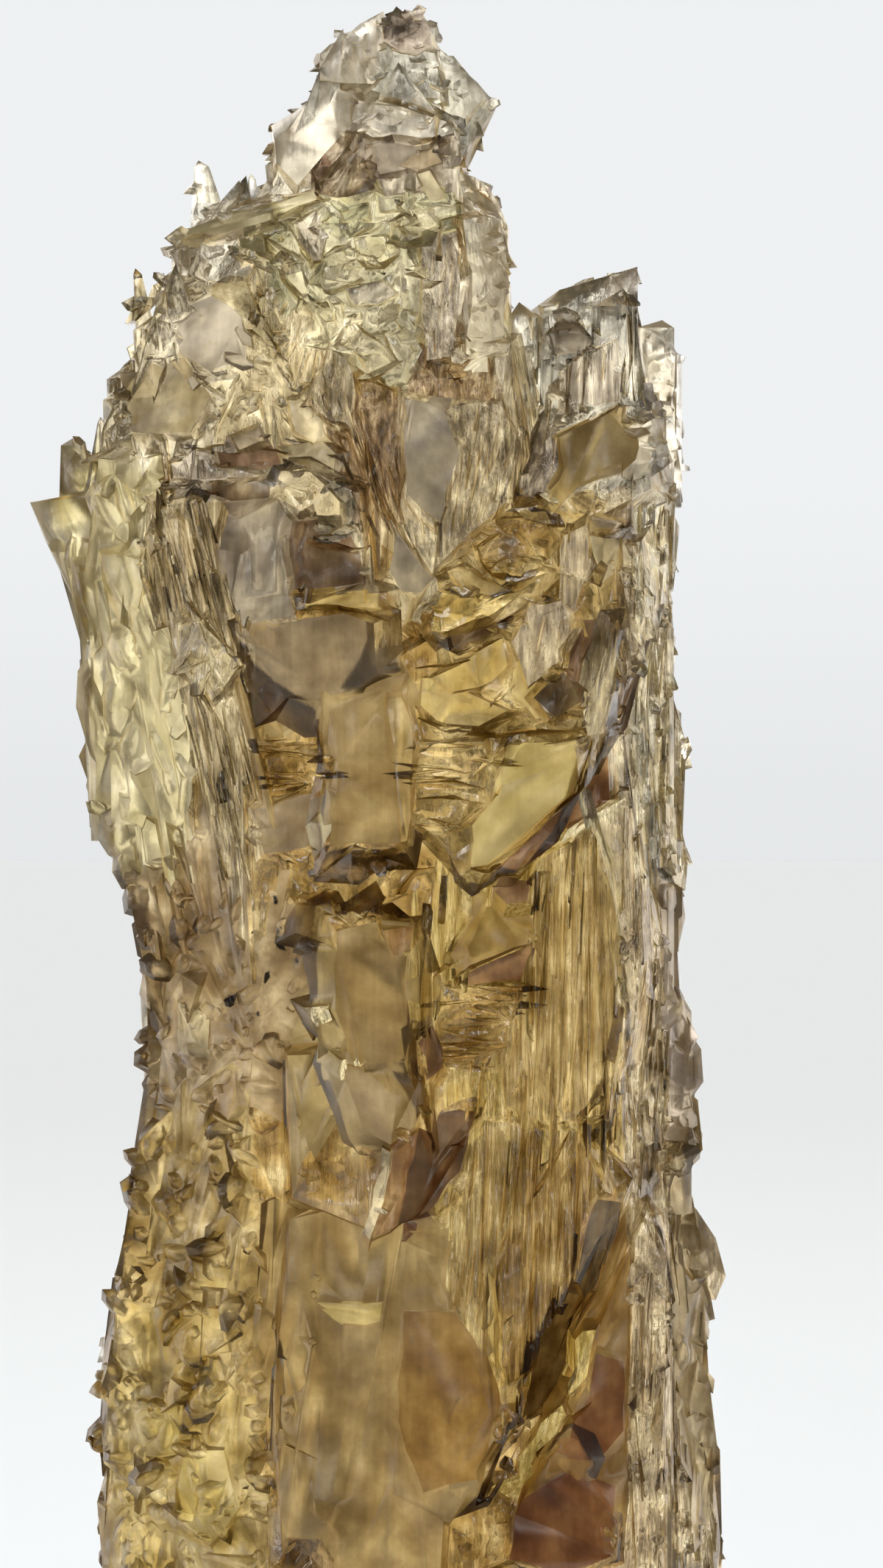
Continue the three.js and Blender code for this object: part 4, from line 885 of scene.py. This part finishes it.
def fan_lean(x, z):
    return math.degrees(math.atan2(x - FAN_AT[0], max(z - FAN_AT[1], FAN_CLOSEST)))


# What each finish is made of: (shape, count per mm2, width, length, height, lean, spread of the lean). "fan"
# stands for the lean that fan_lean gives.
FINISHES = {
    "plain": [(scale, 0.15, (0.8, 2.4), (0.8, 3), (0.1, 0.4), 0, 25)],
    "smooth": [],
    "satin": [(dome, 0.02, (2, 5), (2, 6), (0.05, 0.16), 0, 20)],
    "haze": [(scale, 0.5, (0.5, 1.8), (0.4, 1.3), (0.08, 0.35), 0, 40),
             (pit, 0.08, (0.6, 1.8), (0.2, 0.6), (0.15, 0.4), 0, 40)],
    "ribs": [(ridge, 0.34, (0.3, 0.9), (2.5, 11), (0.14, 0.42), 3, 1.4),
             (rib_cut, 0.16, (0.16, 0.4), (2, 8), (0.2, 0.5), 3, 1.4)],
    "foil": [(ridge, 0.3, (0.3, 0.8), (1.5, 8), (0.15, 0.4), 1, 5),
             (scale, 0.22, (0.7, 2), (0.8, 2.6), (0.12, 0.4), 0, 24),
             (rib_cut, 0.1, (0.2, 0.45), (1.5, 6), (0.3, 0.6), 0, 4)],
    "fan": [(ridge, 0.6, (0.25, 0.55), (2.4, 7), (0.15, 0.4), "fan", 3),
            (rib_cut, 0.3, (0.15, 0.35), (1.5, 5), (0.2, 0.5), "fan", 3)],
    "fibres": [(ridge, 0.5, (0.25, 0.6), (2.4, 8), (0.15, 0.45), -14, 3),
               (rib_cut, 0.3, (0.2, 0.4), (2, 7), (0.25, 0.55), -14, 3)],
    "etched": [(scale, 0.24, (1.4, 4), (0.8, 2.2), (0.14, 0.4), 0, 20),
               (pit, 0.12, (1, 3), (0.3, 0.7), (0.25, 0.6), 0, 26)],
    "flakes": [(scale, 0.4, (0.9, 3.2), (0.8, 2.8), (0.2, 0.6), -10, 25),
               (ridge, 0.2, (0.3, 0.7), (2, 6), (0.15, 0.4), -8, 6),
               (pit, 0.1, (0.6, 2), (0.4, 1.2), (0.2, 0.6), -10, 30)],
    "flecks": [(scale, 0.35, (0.6, 1.8), (0.5, 1.3), (0.1, 0.3), 0, 40),
               (pit, 0.14, (0.4, 1.2), (0.3, 0.7), (0.15, 0.4), 0, 40)],
    "shards": [(scale, 0.3, (1, 3.4), (0.5, 1.4), (0.25, 0.8), 4, 14),
               (pit, 0.35, (1.2, 3.6), (0.5, 1.1), (0.4, 1), 4, 12)],
    "grains": [(dome, 0.34, (1, 2.8), (1, 2.8), (0.25, 0.8), 0, 40),
               (grain, 0.06, (0.8, 2), (0.8, 2), (0.15, 0.45), 0, 40),
               (pit, 0.05, (0.7, 1.8), (0.7, 1.8), (0.3, 0.7), 0, 60)],
    "lumps": [(dome, 0.26, (0.9, 2.6), (0.9, 2.8), (0.15, 0.45), 0, 30),
              (grain, 0.05, (0.8, 2), (0.8, 2), (0.12, 0.4), 0, 30),
              (pit, 0.05, (0.6, 1.8), (0.6, 1.8), (0.2, 0.6), 0, 60)],
    "lobes": [(dome, 0.17, (1.2, 3), (2, 6), (0.3, 0.9), -10, 14),
              (scale, 0.1, (1, 3), (1, 3.5), (0.15, 0.45), -12, 20)],
    "ladder": [(pit, 0.32, (2, 4.6), (0.25, 0.45), (0.25, 0.6), 0, 4),
               (scale, 0.25, (1.5, 4), (0.4, 0.9), (0.15, 0.45), 0, 7)],
}
CUT_SHORT = 0.45  # what is left of a shape's length where it would run into another finish


def dress_cell(surface, crowd, row, i, j, root):
    """Puts one small shape of a finish's row somewhere on a cell of the map."""
    shape, _, wide, tall, proud, lean, spread = row
    x = MAP_X[i] + rng.uniform(-0.5, 0.5) * CELL
    z = MAP_Z[j] + rng.uniform(-0.5, 0.5) * CELL
    size = size_from((wide, tall, proud))
    patch = PATCHES[owner[i, j]]
    own = lean if patch.lean is None else patch.lean
    angle = (fan_lean(x, z) if own == "fan" else own) + spread * rng.normal()
    reach = size[1] / 2
    run = math.tan(math.radians(angle)) * reach
    ends = owner[cell_at(np.array([x - run, x + run]), np.array([z - reach, z + reach]))]
    if any(PATCHES[k].finish != patch.finish for k in ends):
        size[1] *= CUT_SHORT
    place(surface, crowd, shape, "front", x, z, size, angle, root)


def dress_front(surface, crowd, cutting, root):
    """Scatters each finish's small shapes over the cells of the map that have it."""
    for finish, shapes in FINISHES.items():
        own_patches = [k for k, patch in enumerate(PATCHES) if patch.finish == finish]
        cells = np.argwhere(np.isin(owner, own_patches))
        for row in shapes:
            shape, density = row[:2]
            if (shape in CUTTERS) == cutting:
                picks = rng.integers(0, len(cells), int(density * len(cells) * CELL * CELL))
                for i, j in cells[picks]:
                    dress_cell(surface, crowd, row, i, j, root)


# ------------------------ the crystal

# The hidden sides: (shape, count, side, across, up, width, length, height, spread of the lean). From the top,
# the fifth column is along y.
BROAD_STEPS = [
    (scale, 80, "back", (-22, 20), (2, 120), (3, 7), (5, 14), (0.3, 0.9), 10),
    (lath, 70, "back", (-22, 21), (2, 118), (1, 2.6), (8, 24), (0.5, 1.1), 3),
    (scale, 36, "left", (-12, 12), (2, 112), (2, 5), (4, 10), (0.2, 0.7), 12),
    (scale, 36, "right", (-12, 12), (2, 108), (2, 5), (4, 10), (0.2, 0.6), 12),
]
FINE_GROWTH = [
    (ridge, 420, "back", (-25, 24), (1, 128), (0.5, 1.6), (4, 20), (0.2, 0.8), 4),
    (scale, 220, "back", (-25, 24), (1, 128), (0.9, 3.4), (1, 5), (0.12, 0.5), 25),
    (ridge, 130, "left", (-12, 13), (1, 118), (0.4, 1), (3, 12), (0.12, 0.5), 5),
    (grain, 130, "left", (-12, 13), (1, 70), (0.6, 1.7), (0.6, 1.8), (0.15, 0.5), 30),
    (scale, 45, "left", (-7, 7), (118, 134), (0.6, 1.8), (0.5, 1.4), (0.2, 0.7), 30),
    (ridge, 150, "right", (-12, 13), (1, 112), (0.4, 1), (3, 12), (0.12, 0.5), 5),
    (scale, 130, "right", (-12, 13), (1, 112), (0.6, 1.8), (0.7, 2.4), (0.1, 0.4), 20),
    (scale, 45, "right", (-7, 7), (112, 134), (0.6, 1.8), (0.5, 1.4), (0.2, 0.6), 30),
    (scale, 90, "top", (-24, 22), (-12, 12), (0.8, 2.4), (0.8, 2.4), (0.1, 0.4), 90),
]
FINE_CUTS = [
    (pit, 90, "back", (-24, 23), (2, 124), (0.5, 1.8), (2, 8), (0.2, 0.8), 6),
    (rib_cut, 90, "back", (-24, 23), (2, 124), (0.3, 0.7), (4, 14), (0.3, 0.8), 4),
    (pit, 40, "left", (-12, 13), (2, 116), (0.5, 1.8), (1, 5), (0.2, 0.7), 10),
    (pit, 50, "right", (-12, 13), (2, 110), (0.5, 1.8), (1, 6), (0.2, 0.7), 8),
]
SHARP_FROM = math.radians(32)  # edges that turn more than this aren't smoothed


def drop_crumbs(obj):
    """Keeps the largest connected part only."""
    bm = bmesh.new()
    bm.from_mesh(obj.data)
    unseen = set(bm.verts)
    parts = []
    while unseen:
        stack = [unseen.pop()]
        part = list(stack)
        while stack:
            for edge in stack.pop().link_edges:
                for vert in edge.verts:
                    if vert in unseen:
                        unseen.discard(vert)
                        stack.append(vert)
                        part.append(vert)
        parts.append(part)
    parts.sort(key=len)
    for part in parts[:-1]:
        bmesh.ops.delete(bm, geom=part, context="VERTS")
    bm.to_mesh(obj.data)
    bm.free()


def dress(obj, rows, cutting, front_root, root):
    """Joins the small shapes of all sides to obj, or cuts them from it. rows are the hidden sides' shapes."""
    crowd = Crowd()
    surface = Surface(obj)
    dress_front(surface, crowd, cutting, front_root)
    scatter(surface, crowd, rows, root)
    crowd.apply(obj, "DIFFERENCE" if cutting else "UNION")


crystal = clean_copy(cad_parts["crystal"], "crystal_body")

steps = Crowd()
scatter(Surface(crystal), steps, BROAD_STEPS, root=1.6)
steps.apply(crystal, "UNION")

lay_out(crystal, raised=True)
lay_out(crystal, raised=False)
dress(crystal, FINE_GROWTH, cutting=False, front_root=0.6, root=0.7)
dress(crystal, FINE_CUTS, cutting=True, front_root=0.4, root=0.4)
drop_crumbs(crystal)
crystal.data.polygons.foreach_set("use_smooth", np.ones(len(crystal.data.polygons), bool))
crystal.data.set_sharp_from_angle(angle=SHARP_FROM)

# ------------------------ tone

ABSORPTION = np.array([10.0, 15.0, 34.0])  # per metre, in red, green and blue
SURFACES_PASS = np.array([0.55, 0.52, 0.52])  # the light left by two surfaces and the studio's dark parts
LONG_WAY = 1.15  # light crosses the body aslant
VEIL = np.array([0.1, 0.08, 0.042])  # what the surface mirrors
LEAST_LEFT = 0.4  # the least share of a tone that is left when the mirrored part is taken off
STEEP_PAINTED_SHADE = np.array([0.03, 0.15, 0.38])  # painted shade: how much deeper the tint is on steep sides, which mirror most
# That begins where the part of a face's normal along y is under STEEP_UNDER, and is full STEEP_SPAN below.
STEEP_UNDER, STEEP_SPAN = 0.7, 0.5
SOFT_REACH = 5  # cells over which a patch's tone bleeds into the next
SOFT_SHARE = 0.3  # the share of it that does
DEPTH_ELSEWHERE, LEAST_DEPTH = 10, 0.5  # the body's depth in cells that are off it, and the least that counts
TURN_STEPS, PLACE_STEPS = 20, 5  # steps per unit of a normal and per mm, in which a facet's faces agree
DARKEST, BACK_TINT = 0.012, 0.95
BACK_FACING, BACK_FROM = 0.1, 3  # a face belongs to the back if its normal's y or its own y is past this
THIN_FROM = 117  # above this height the crystal is thin, and its back is dull
THIN_ROUGHNESS = 0.5

# How each finish feels: the share of tiny facets, the share of growth lines, the roughness, how much its
# facets differ in tone, how much it mirrors and how much light it lets through.
FEELS = {
    "plain": (0.25, 0.15, 0.2, 0.12, 1, 1), "smooth": (0.12, 0.06, 0.32, 0.08, 0.9, 1.07),
    "satin": (0.05, 0.04, 0.36, 0.05, 0.65, 1.34), "haze": (0.3, 0.15, 0.3, 0.2, 1, 0.97),
    "ribs": (0.1, 0.38, 0.2, 0.16, 1, 1.13), "foil": (0.35, 0.28, 0.16, 0.24, 1, 1),
    "fan": (0.15, 0.42, 0.2, 0.14, 1, 1), "fibres": (0.15, 0.36, 0.2, 0.16, 1, 1),
    "etched": (0.16, 0.06, 0.2, 0.16, 1, 1.17), "flakes": (0.2, 0.12, 0.2, 0.18, 1, 1.2),
    "flecks": (0.22, 0.06, 0.2, 0.18, 1, 1), "shards": (0.25, 0.15, 0.18, 0.24, 1, 1.25),
    "grains": (0.2, 0, 0.34, 0.14, 1, 1.2), "lumps": (0.16, 0, 0.36, 0.1, 1, 1.12),
    "lobes": (0.1, 0.06, 0.34, 0.1, 0.8, 1.04), "ladder": (0.15, 0.08, 0.18, 0.18, 1, 1),
}
BACK_FEEL = (0.25, 0.3, 0.42, 0.12)


def linear(colour):
    """The linear value of an sRGB colour from 0 to 255."""
    c = np.array(colour, float) / 255
    return np.where(c < 0.04045, c / 12.92, ((c + 0.055) / 1.055) ** 2.4)


def body_depths_m(surface):
    """How deep the body is behind each cell of the map."""
    depths = np.full(owner.shape, DEPTH_ELSEWHERE * MM)
    for i in range(0, len(MAP_X), 2):
        for j in range(0, len(MAP_Z), 2):
            near, far = (surface.hit(side, MAP_X[i], MAP_Z[j]) for side in ("front", "back"))
            if near is not None and far is not None:
                depths[i:i + 2, j:j + 2] = max(far[0][1] - near[0][1], LEAST_DEPTH) * MM
    return depths


def softened(tones):
    """The map of tones with a share of each patch's surroundings mixed in."""
    blurred = tones
    for axis in (0, 1):
        blurred = np.mean([np.roll(blurred, k, axis) for k in range(-SOFT_REACH, SOFT_REACH + 1)], axis=0)
    return tones * (1 - SOFT_SHARE) + blurred * SOFT_SHARE


def facets_of(middle, normal):
    """The number of the flat facet that each face belongs to."""
    away = (middle * normal).sum(1)[:, None]
    plane = np.concatenate([np.round(normal * TURN_STEPS), np.round(away * PLACE_STEPS)], 1)
    return np.unique(plane, axis=0, return_inverse=True)[1].ravel()


def wanted_tint(wanted, mirrors, passes, depth_m):
    """The tint under which the body lets through what a tone still needs beside what the surface mirrors."""
    untinted = SURFACES_PASS * np.exp(-np.outer(depth_m * LONG_WAY, ABSORPTION))
    ratio = np.maximum(wanted - mirrors * VEIL, LEAST_LEFT * wanted) / (passes * untinted)
    ratio = np.minimum(ratio, ratio[:, :1])
    return ratio / np.maximum(ratio[:, :1], 1)


def paint_faces(obj):
    """Gives every face a tint and its finish, so that its patch shows the patch's tone against white. The
    tint carries the tones' painted shade and highlight, and painted shade that deepens it on steep sides.
    """
    mesh = obj.data
    middle, normal = np.empty(len(mesh.polygons) * 3), np.empty(len(mesh.polygons) * 3)
    mesh.polygons.foreach_get("center", middle)
    mesh.polygons.foreach_get("normal", normal)
    middle, normal = middle.reshape(-1, 3) / MM, normal.reshape(-1, 3)
    cells = cell_at(middle[:, 0], middle[:, 2])
    tones = softened(np.array([linear(TONES[patch.tone]) for patch in PATCHES])[owner])[cells]
    feel = np.array([FEELS[patch.finish] for patch in PATCHES])[owner[cells]]
    ratio = wanted_tint(tones, feel[:, 4:5], feel[:, 5:6], body_depths_m(Surface(obj))[cells])
    back = (normal[:, 1] > BACK_FACING) | (middle[:, 1] > BACK_FROM)
    feel[back, :4] = BACK_FEEL
    feel[back & (middle[:, 2] > THIN_FROM), 2] = THIN_ROUGHNESS
    facet = facets_of(middle, normal)
    vary = 1 + rng.uniform(-1, 1, facet.max() + 1)[facet] * feel[:, 3]
    # Painted shade: faces that turn away from the front get a deeper tint.
    steep = np.clip((STEEP_UNDER - np.abs(normal[:, 1])) / STEEP_SPAN, 0, 1)
    ratio *= vary[:, None] * (1 - np.outer(steep, STEEP_PAINTED_SHADE))
    ratio[back] = (BACK_TINT * np.minimum(vary, 1))[back][:, None]
    tint = np.clip(ratio, DARKEST, 1) ** 2
    for name, values in (("tone", tint), ("feel", feel[:, :3])):
        mesh.attributes.new(name, "FLOAT_VECTOR", "FACE").data.foreach_set("vector", values.ravel())


paint_faces(crystal)


# ------------------------ materials

class Graph:
    """Adds nodes to a node tree. What an input is fed is a number, a tuple or another node's output."""

    def __init__(self, holder):
        holder.use_nodes = True
        self.nodes, self.links = holder.node_tree.nodes, holder.node_tree.links

    def feed(self, node, values):
        for name, value in values.items():
            if isinstance(value, bpy.types.NodeSocket):
                self.links.new(value, node.inputs[name])
            else:
                node.inputs[name].default_value = value

    def add(self, kind, values=(), **settings):
        """A new node with its settings, and its inputs by name or number."""
        node = self.nodes.new("ShaderNode" + kind)
        for name, value in settings.items():
            setattr(node, name, value)
        self.feed(node, dict(values))
        return node

    def math(self, operation, *values):
        return self.add("Math", enumerate(values), operation=operation).outputs[0]

    def vector_math(self, operation, *values):
        node = self.add("VectorMath", enumerate(values), operation=operation)
        return node.outputs["Value" if operation == "DOT_PRODUCT" else "Vector"]

    def noise(self, vector, scale, detail):
        return self.add("TexNoise", {"Vector": vector, "Scale": scale, "Detail": detail}).outputs["Fac"]

    def mix(self, factor, a, b, data_type="RGBA"):
        values = {"Factor": factor, "A": a, "B": b}
        return self.add("Mix", values, data_type=data_type).outputs["Result"]

    def ramp(self, value, low, high, at_low, at_high):
        """A smooth change from at_low to at_high, as the value goes from low to high."""
        values = {"Value": value, "From Min": low, "From Max": high, "To Min": at_low, "To Max": at_high}
        return self.add("MapRange", values, interpolation_type="SMOOTHSTEP").outputs[0]


def new_material(name):
    material = bpy.data.materials.new(name)
    graph = Graph(material)
    return material, graph, graph.nodes["Principled BSDF"]


def tiny_facets(graph, spot):
    """The height of a surface broken into flat cells, each with a tilt of its own."""
    cells = graph.add("TexVoronoi", {"Vector": spot, "Scale": 1})
    tilt = graph.vector_math("SUBTRACT", cells.outputs["Color"], (0.5, 0.5, 0.5))
    away = graph.vector_math("SUBTRACT", spot, cells.outputs["Position"])
    return graph.vector_math("DOT_PRODUCT", away, tilt)


# Waves or cells per metre, along x, y and z where there are three.
CLOUD_SCALE = 320
STREAK_SCALE, LINE_SCALE = (2400, 2400, 90), (3400, 3400, 120)
FINE_FACETS, COARSE_FACETS = (1100, 1100, 1400), (420, 420, 360)

CLOUDS, CLOUDS_PER_FACET = 1.2, 8.0  # clouds are stronger where a finish has more tiny facets
CLOUD_LIGHT = 0.8  # how much a cloud lightens a tone that it makes paler
STREAK_GAMMA, STREAK_LIGHT = -6.0, 5.0  # how much a growth line makes a tone paler, and lightens it
LEAST_GAMMA, LEAST_LIGHT = 0.35, 0.25
COARSE_RELIEF, LINE_RELIEF = 2.0, 0.45  # beside the fine facets' relief
RELIEF = 0.8  # what a height of 1 stands for
GLASS_IOR = 1.64  # barite's


def glass_material():
    """Plain transmission, tinted face by face with painted shade and highlight in the tint, and broken up by
    clouds, growth lines and tiny facets.
    """
    glass, graph, shader = new_material("crystal_glass")
    spot = graph.add("TexCoord").outputs["Object"]
    tone = graph.add("Attribute", attribute_name="tone").outputs["Vector"]
    feel = graph.add("Attribute", attribute_name="feel").outputs["Vector"]
    facet_share, line_share, roughness = graph.add("SeparateXYZ", {0: feel}).outputs

    def stretched(scale):
        return graph.add("Mapping", {0: spot, "Scale": scale}).outputs[0]

    streaks = graph.math("SUBTRACT", graph.noise(stretched(STREAK_SCALE), 1, 3), 0.5)
    streaky = graph.math("MULTIPLY", streaks, line_share)
    clouds = graph.math("SUBTRACT", graph.noise(spot, CLOUD_SCALE, 4), 0.5)
    cloud_share = graph.math("MULTIPLY_ADD", facet_share, CLOUDS_PER_FACET, CLOUDS)
    cloudy = graph.math("MULTIPLY", clouds, cloud_share)
    gamma = graph.math("MULTIPLY_ADD", streaky, STREAK_GAMMA, graph.math("SUBTRACT", 1.0, cloudy))
    deepened = graph.add("Gamma", {"Color": tone, "Gamma": graph.math("MAXIMUM", gamma, LEAST_GAMMA)})
    light = graph.math("MULTIPLY_ADD", cloudy, CLOUD_LIGHT, 1.0)
    light = graph.math("MAXIMUM", graph.math("MULTIPLY_ADD", streaky, STREAK_LIGHT, light), LEAST_LIGHT)
    mottled = graph.add("VectorMath", {0: deepened.outputs["Color"], "Scale": light}, operation="SCALE")

    fine = tiny_facets(graph, stretched(FINE_FACETS))
    coarse = tiny_facets(graph, stretched(COARSE_FACETS))
    facets = graph.math("ADD", fine, graph.math("MULTIPLY", coarse, COARSE_RELIEF))
    lines = graph.math("MULTIPLY", graph.noise(stretched(LINE_SCALE), 1, 3), LINE_RELIEF)
    relief = graph.math("MULTIPLY_ADD", lines, line_share, graph.math("MULTIPLY", facets, facet_share))
    bump = graph.add("Bump", {"Strength": 1, "Distance": RELIEF * MM, "Height": relief})

    graph.feed(shader, {
        "Transmission Weight": 1,
        "IOR": GLASS_IOR,
        "Base Color": graph.vector_math("MINIMUM", mottled.outputs["Vector"], (1, 1, 1)),
        "Roughness": roughness,
        "Normal": bump.outputs[0],
    })
    absorbed = {"Color": (*(1 - ABSORPTION / ABSORPTION.max()), 1), "Density": ABSORPTION.max()}
    volume = graph.add("VolumeAbsorption", absorbed)
    graph.feed(graph.nodes["Material Output"], {"Volume": volume.outputs[0]})
    return glass


crystal.data.materials.clear()
crystal.data.materials.append(glass_material())
crystal.data.polygons.foreach_set("material_index", np.zeros(len(crystal.data.polygons), np.int32))

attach(crystal, "root")
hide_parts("crystal")

# ------------------------ specks sealed in the crystal

SPECK_DEPTH = 0.55  # under the surface
SPECK_SHARES = np.array([0.5, 1, 0.22, 0.2])  # its width, length, thickness and root as shares of its length
SPECK_COLOURS = (0.012, 0.009, 0.006, 1), (0.05, 0.035, 0.02, 1)
SPECK_GRAIN = 3000  # waves per metre


def speck_material():
    paint, graph, shader = new_material("speck_mineral")
    noise = graph.add("TexNoise", {"Scale": SPECK_GRAIN}).outputs["Fac"]
    graph.feed(shader, {"Base Color": graph.mix(noise, *SPECK_COLOURS), "Roughness": 0.7})
    return paint


speck_paint = speck_material()
surface = Surface(crystal)
for number, (x, z, long, slant) in enumerate(SPECKS, 1):
    points, faces = grain(*(long * SPECK_SHARES), 0)
    turn = math.radians(slant)
    u, v = points[:, 0].copy(), points[:, 2].copy()
    points[:, 0] = u * math.cos(turn) + v * math.sin(turn)
    points[:, 2] = -u * math.sin(turn) + v * math.cos(turn)
    points = np.array([x, surface.depth(x, z) + SPECK_DEPTH, z]) + points * np.array([1, -1, 1])
    speck = new_object("speck_%d" % number, points, faced_out(points - points.mean(0), faces))
    speck.data.materials.append(speck_paint)
    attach(speck, "root")

# ------------------------ the stage

FLOOR_SIZE_M = 8
FLOOR_COLOUR = (0.8, 0.853, 0.92, 1)


def floor_material():
    paint, graph, shader = new_material("floor_paint")
    graph.feed(shader, {"Base Color": FLOOR_COLOUR, "Roughness": 0.8, "Specular IOR Level": 0})
    return paint


bpy.ops.mesh.primitive_plane_add(size=FLOOR_SIZE_M)
floor = bpy.context.object
floor.name = "floor"
floor.data.materials.append(floor_material())
floor.visible_glossy = False
floor.visible_transmission = False


def add_light(name, kind, height_m, **settings):
    """A lamp straight over the crystal, seen neither in its reflections nor through it."""
    lamp = bpy.data.lights.new(name, kind)
    for key, value in settings.items():
        setattr(lamp, key, value)
    light = bpy.data.objects.new(name, lamp)
    light.location = (0, 0, height_m)
    light.visible_transmission = False
    light.visible_glossy = False
    scene.collection.objects.link(light)


# A soft light from overhead, so wide that it lights the floor evenly and leaves hardly a shadow, and a
# second one that makes the floor round the crystal a little brighter.
add_light("overhead", "SUN", 2.0, energy=1.34, angle=math.radians(80))
add_light("pool", "SPOT", 1.5, energy=24, spot_size=math.radians(36), spot_blend=0.9, shadow_soft_size=0.4)

# Small round lamps that show in the crystal: (the way to one, half its angle in degrees, strength)
SOFTBOXES = [
    ((-0.6, -0.6, 0.5), 5, 11), ((0.8, -0.5, 0.3), 5, 10), ((0.1, -0.5, 0.85), 6, 9),
    ((-0.9, -0.1, 0.1), 5, 9), ((0.3, -0.9, -0.25), 4, 8), ((-0.3, -0.9, 0.3), 3, 12),
    ((0.5, -0.6, -0.6), 5, 7),
]
SOFTBOX_EDGE = 0.4  # how far one fades out past its edge, as a share of 1 less the edge's cosine
PANELS = 7
# How the studio's strength changes: (from, to, strength at the one, strength at the other)
PANEL_GAPS = (-0.9, -0.2, 0.5, 1.0)
BELT_TO_CEILING = (0.2, 0.65, 1.0, 0.15)
FRONT_TO_BACK = (-0.5, 0.35, 0.12, 2.5)
GLOW_BELOW = (-0.6, -0.15, 0.8, 0.0)
BACKDROP = (-0.02, 0.07, 0.81, 0.885)
BACKDROP_COLOUR = (0.97, 0.99, 1.0, 1)
DIM_COLOUR, BRIGHT_COLOUR = (1.0, 0.79, 0.47, 1), (1.0, 0.965, 0.91, 1)
BRIGHTENING = 0.6  # the share of the bright colour per unit of strength


def crystal_sees(graph, direction, x, y, z):
    """The studio's strength: a bright belt behind the crystal, nearly dark towards the viewer, with soft
    darker gaps between its panels, a dim ceiling, a glow from below in place of the floor, and softboxes."""
    turn = graph.math("MULTIPLY", graph.math("ARCTAN2", x, y), PANELS)
    panels = graph.ramp(graph.math("COSINE", turn), *PANEL_GAPS)
    belt = graph.ramp(graph.math("ABSOLUTE", z), *BELT_TO_CEILING)
    seen = graph.math("MULTIPLY", graph.math("MULTIPLY", panels, belt), graph.ramp(y, *FRONT_TO_BACK))
    seen = graph.math("ADD", seen, graph.ramp(z, *GLOW_BELOW))
    for way, half_angle, strength in SOFTBOXES:
        toward = graph.vector_math("DOT_PRODUCT", direction, tuple(unit(np.array(way))))
        edge = math.cos(math.radians(half_angle))
        outer = edge - (1 - edge) * SOFTBOX_EDGE
        seen = graph.math("ADD", seen, graph.ramp(toward, outer, edge, 0.0, strength))
    return seen


def add_world():
    """The studio that the crystal sees, and a plain backdrop for the camera."""
    scene.world = bpy.data.worlds.new("studio")
    graph = Graph(scene.world)
    direction = graph.add("TexCoord").outputs["Generated"]
    x, y, z = graph.add("SeparateXYZ", {0: direction}).outputs
    seen = crystal_sees(graph, direction, x, y, z)
    to_camera = graph.add("LightPath").outputs["Is Camera Ray"]
    warmth = graph.mix(graph.math("MULTIPLY", seen, BRIGHTENING), DIM_COLOUR, BRIGHT_COLOUR)
    graph.feed(graph.nodes["Background"], {
        "Color": graph.mix(to_camera, warmth, BACKDROP_COLOUR),
        "Strength": graph.mix(to_camera, seen, graph.ramp(z, *BACKDROP), "FLOAT"),
    })


add_world()

CAMERA_X, CAMERA_Z = 5.1, 76.3
CAMERA_DISTANCE_M = 0.331
LENS, SENSOR = 100.5, 36
camera = bpy.data.objects.new("camera", bpy.data.cameras.new("camera"))
scene.collection.objects.link(camera)
camera.data.lens = LENS
camera.data.sensor_width = SENSOR
camera.location = (CAMERA_X * MM, -CAMERA_DISTANCE_M, CAMERA_Z * MM)
camera.rotation_euler = (math.radians(90), 0, 0)
scene.camera = camera
scene.view_settings.view_transform = "Standard"
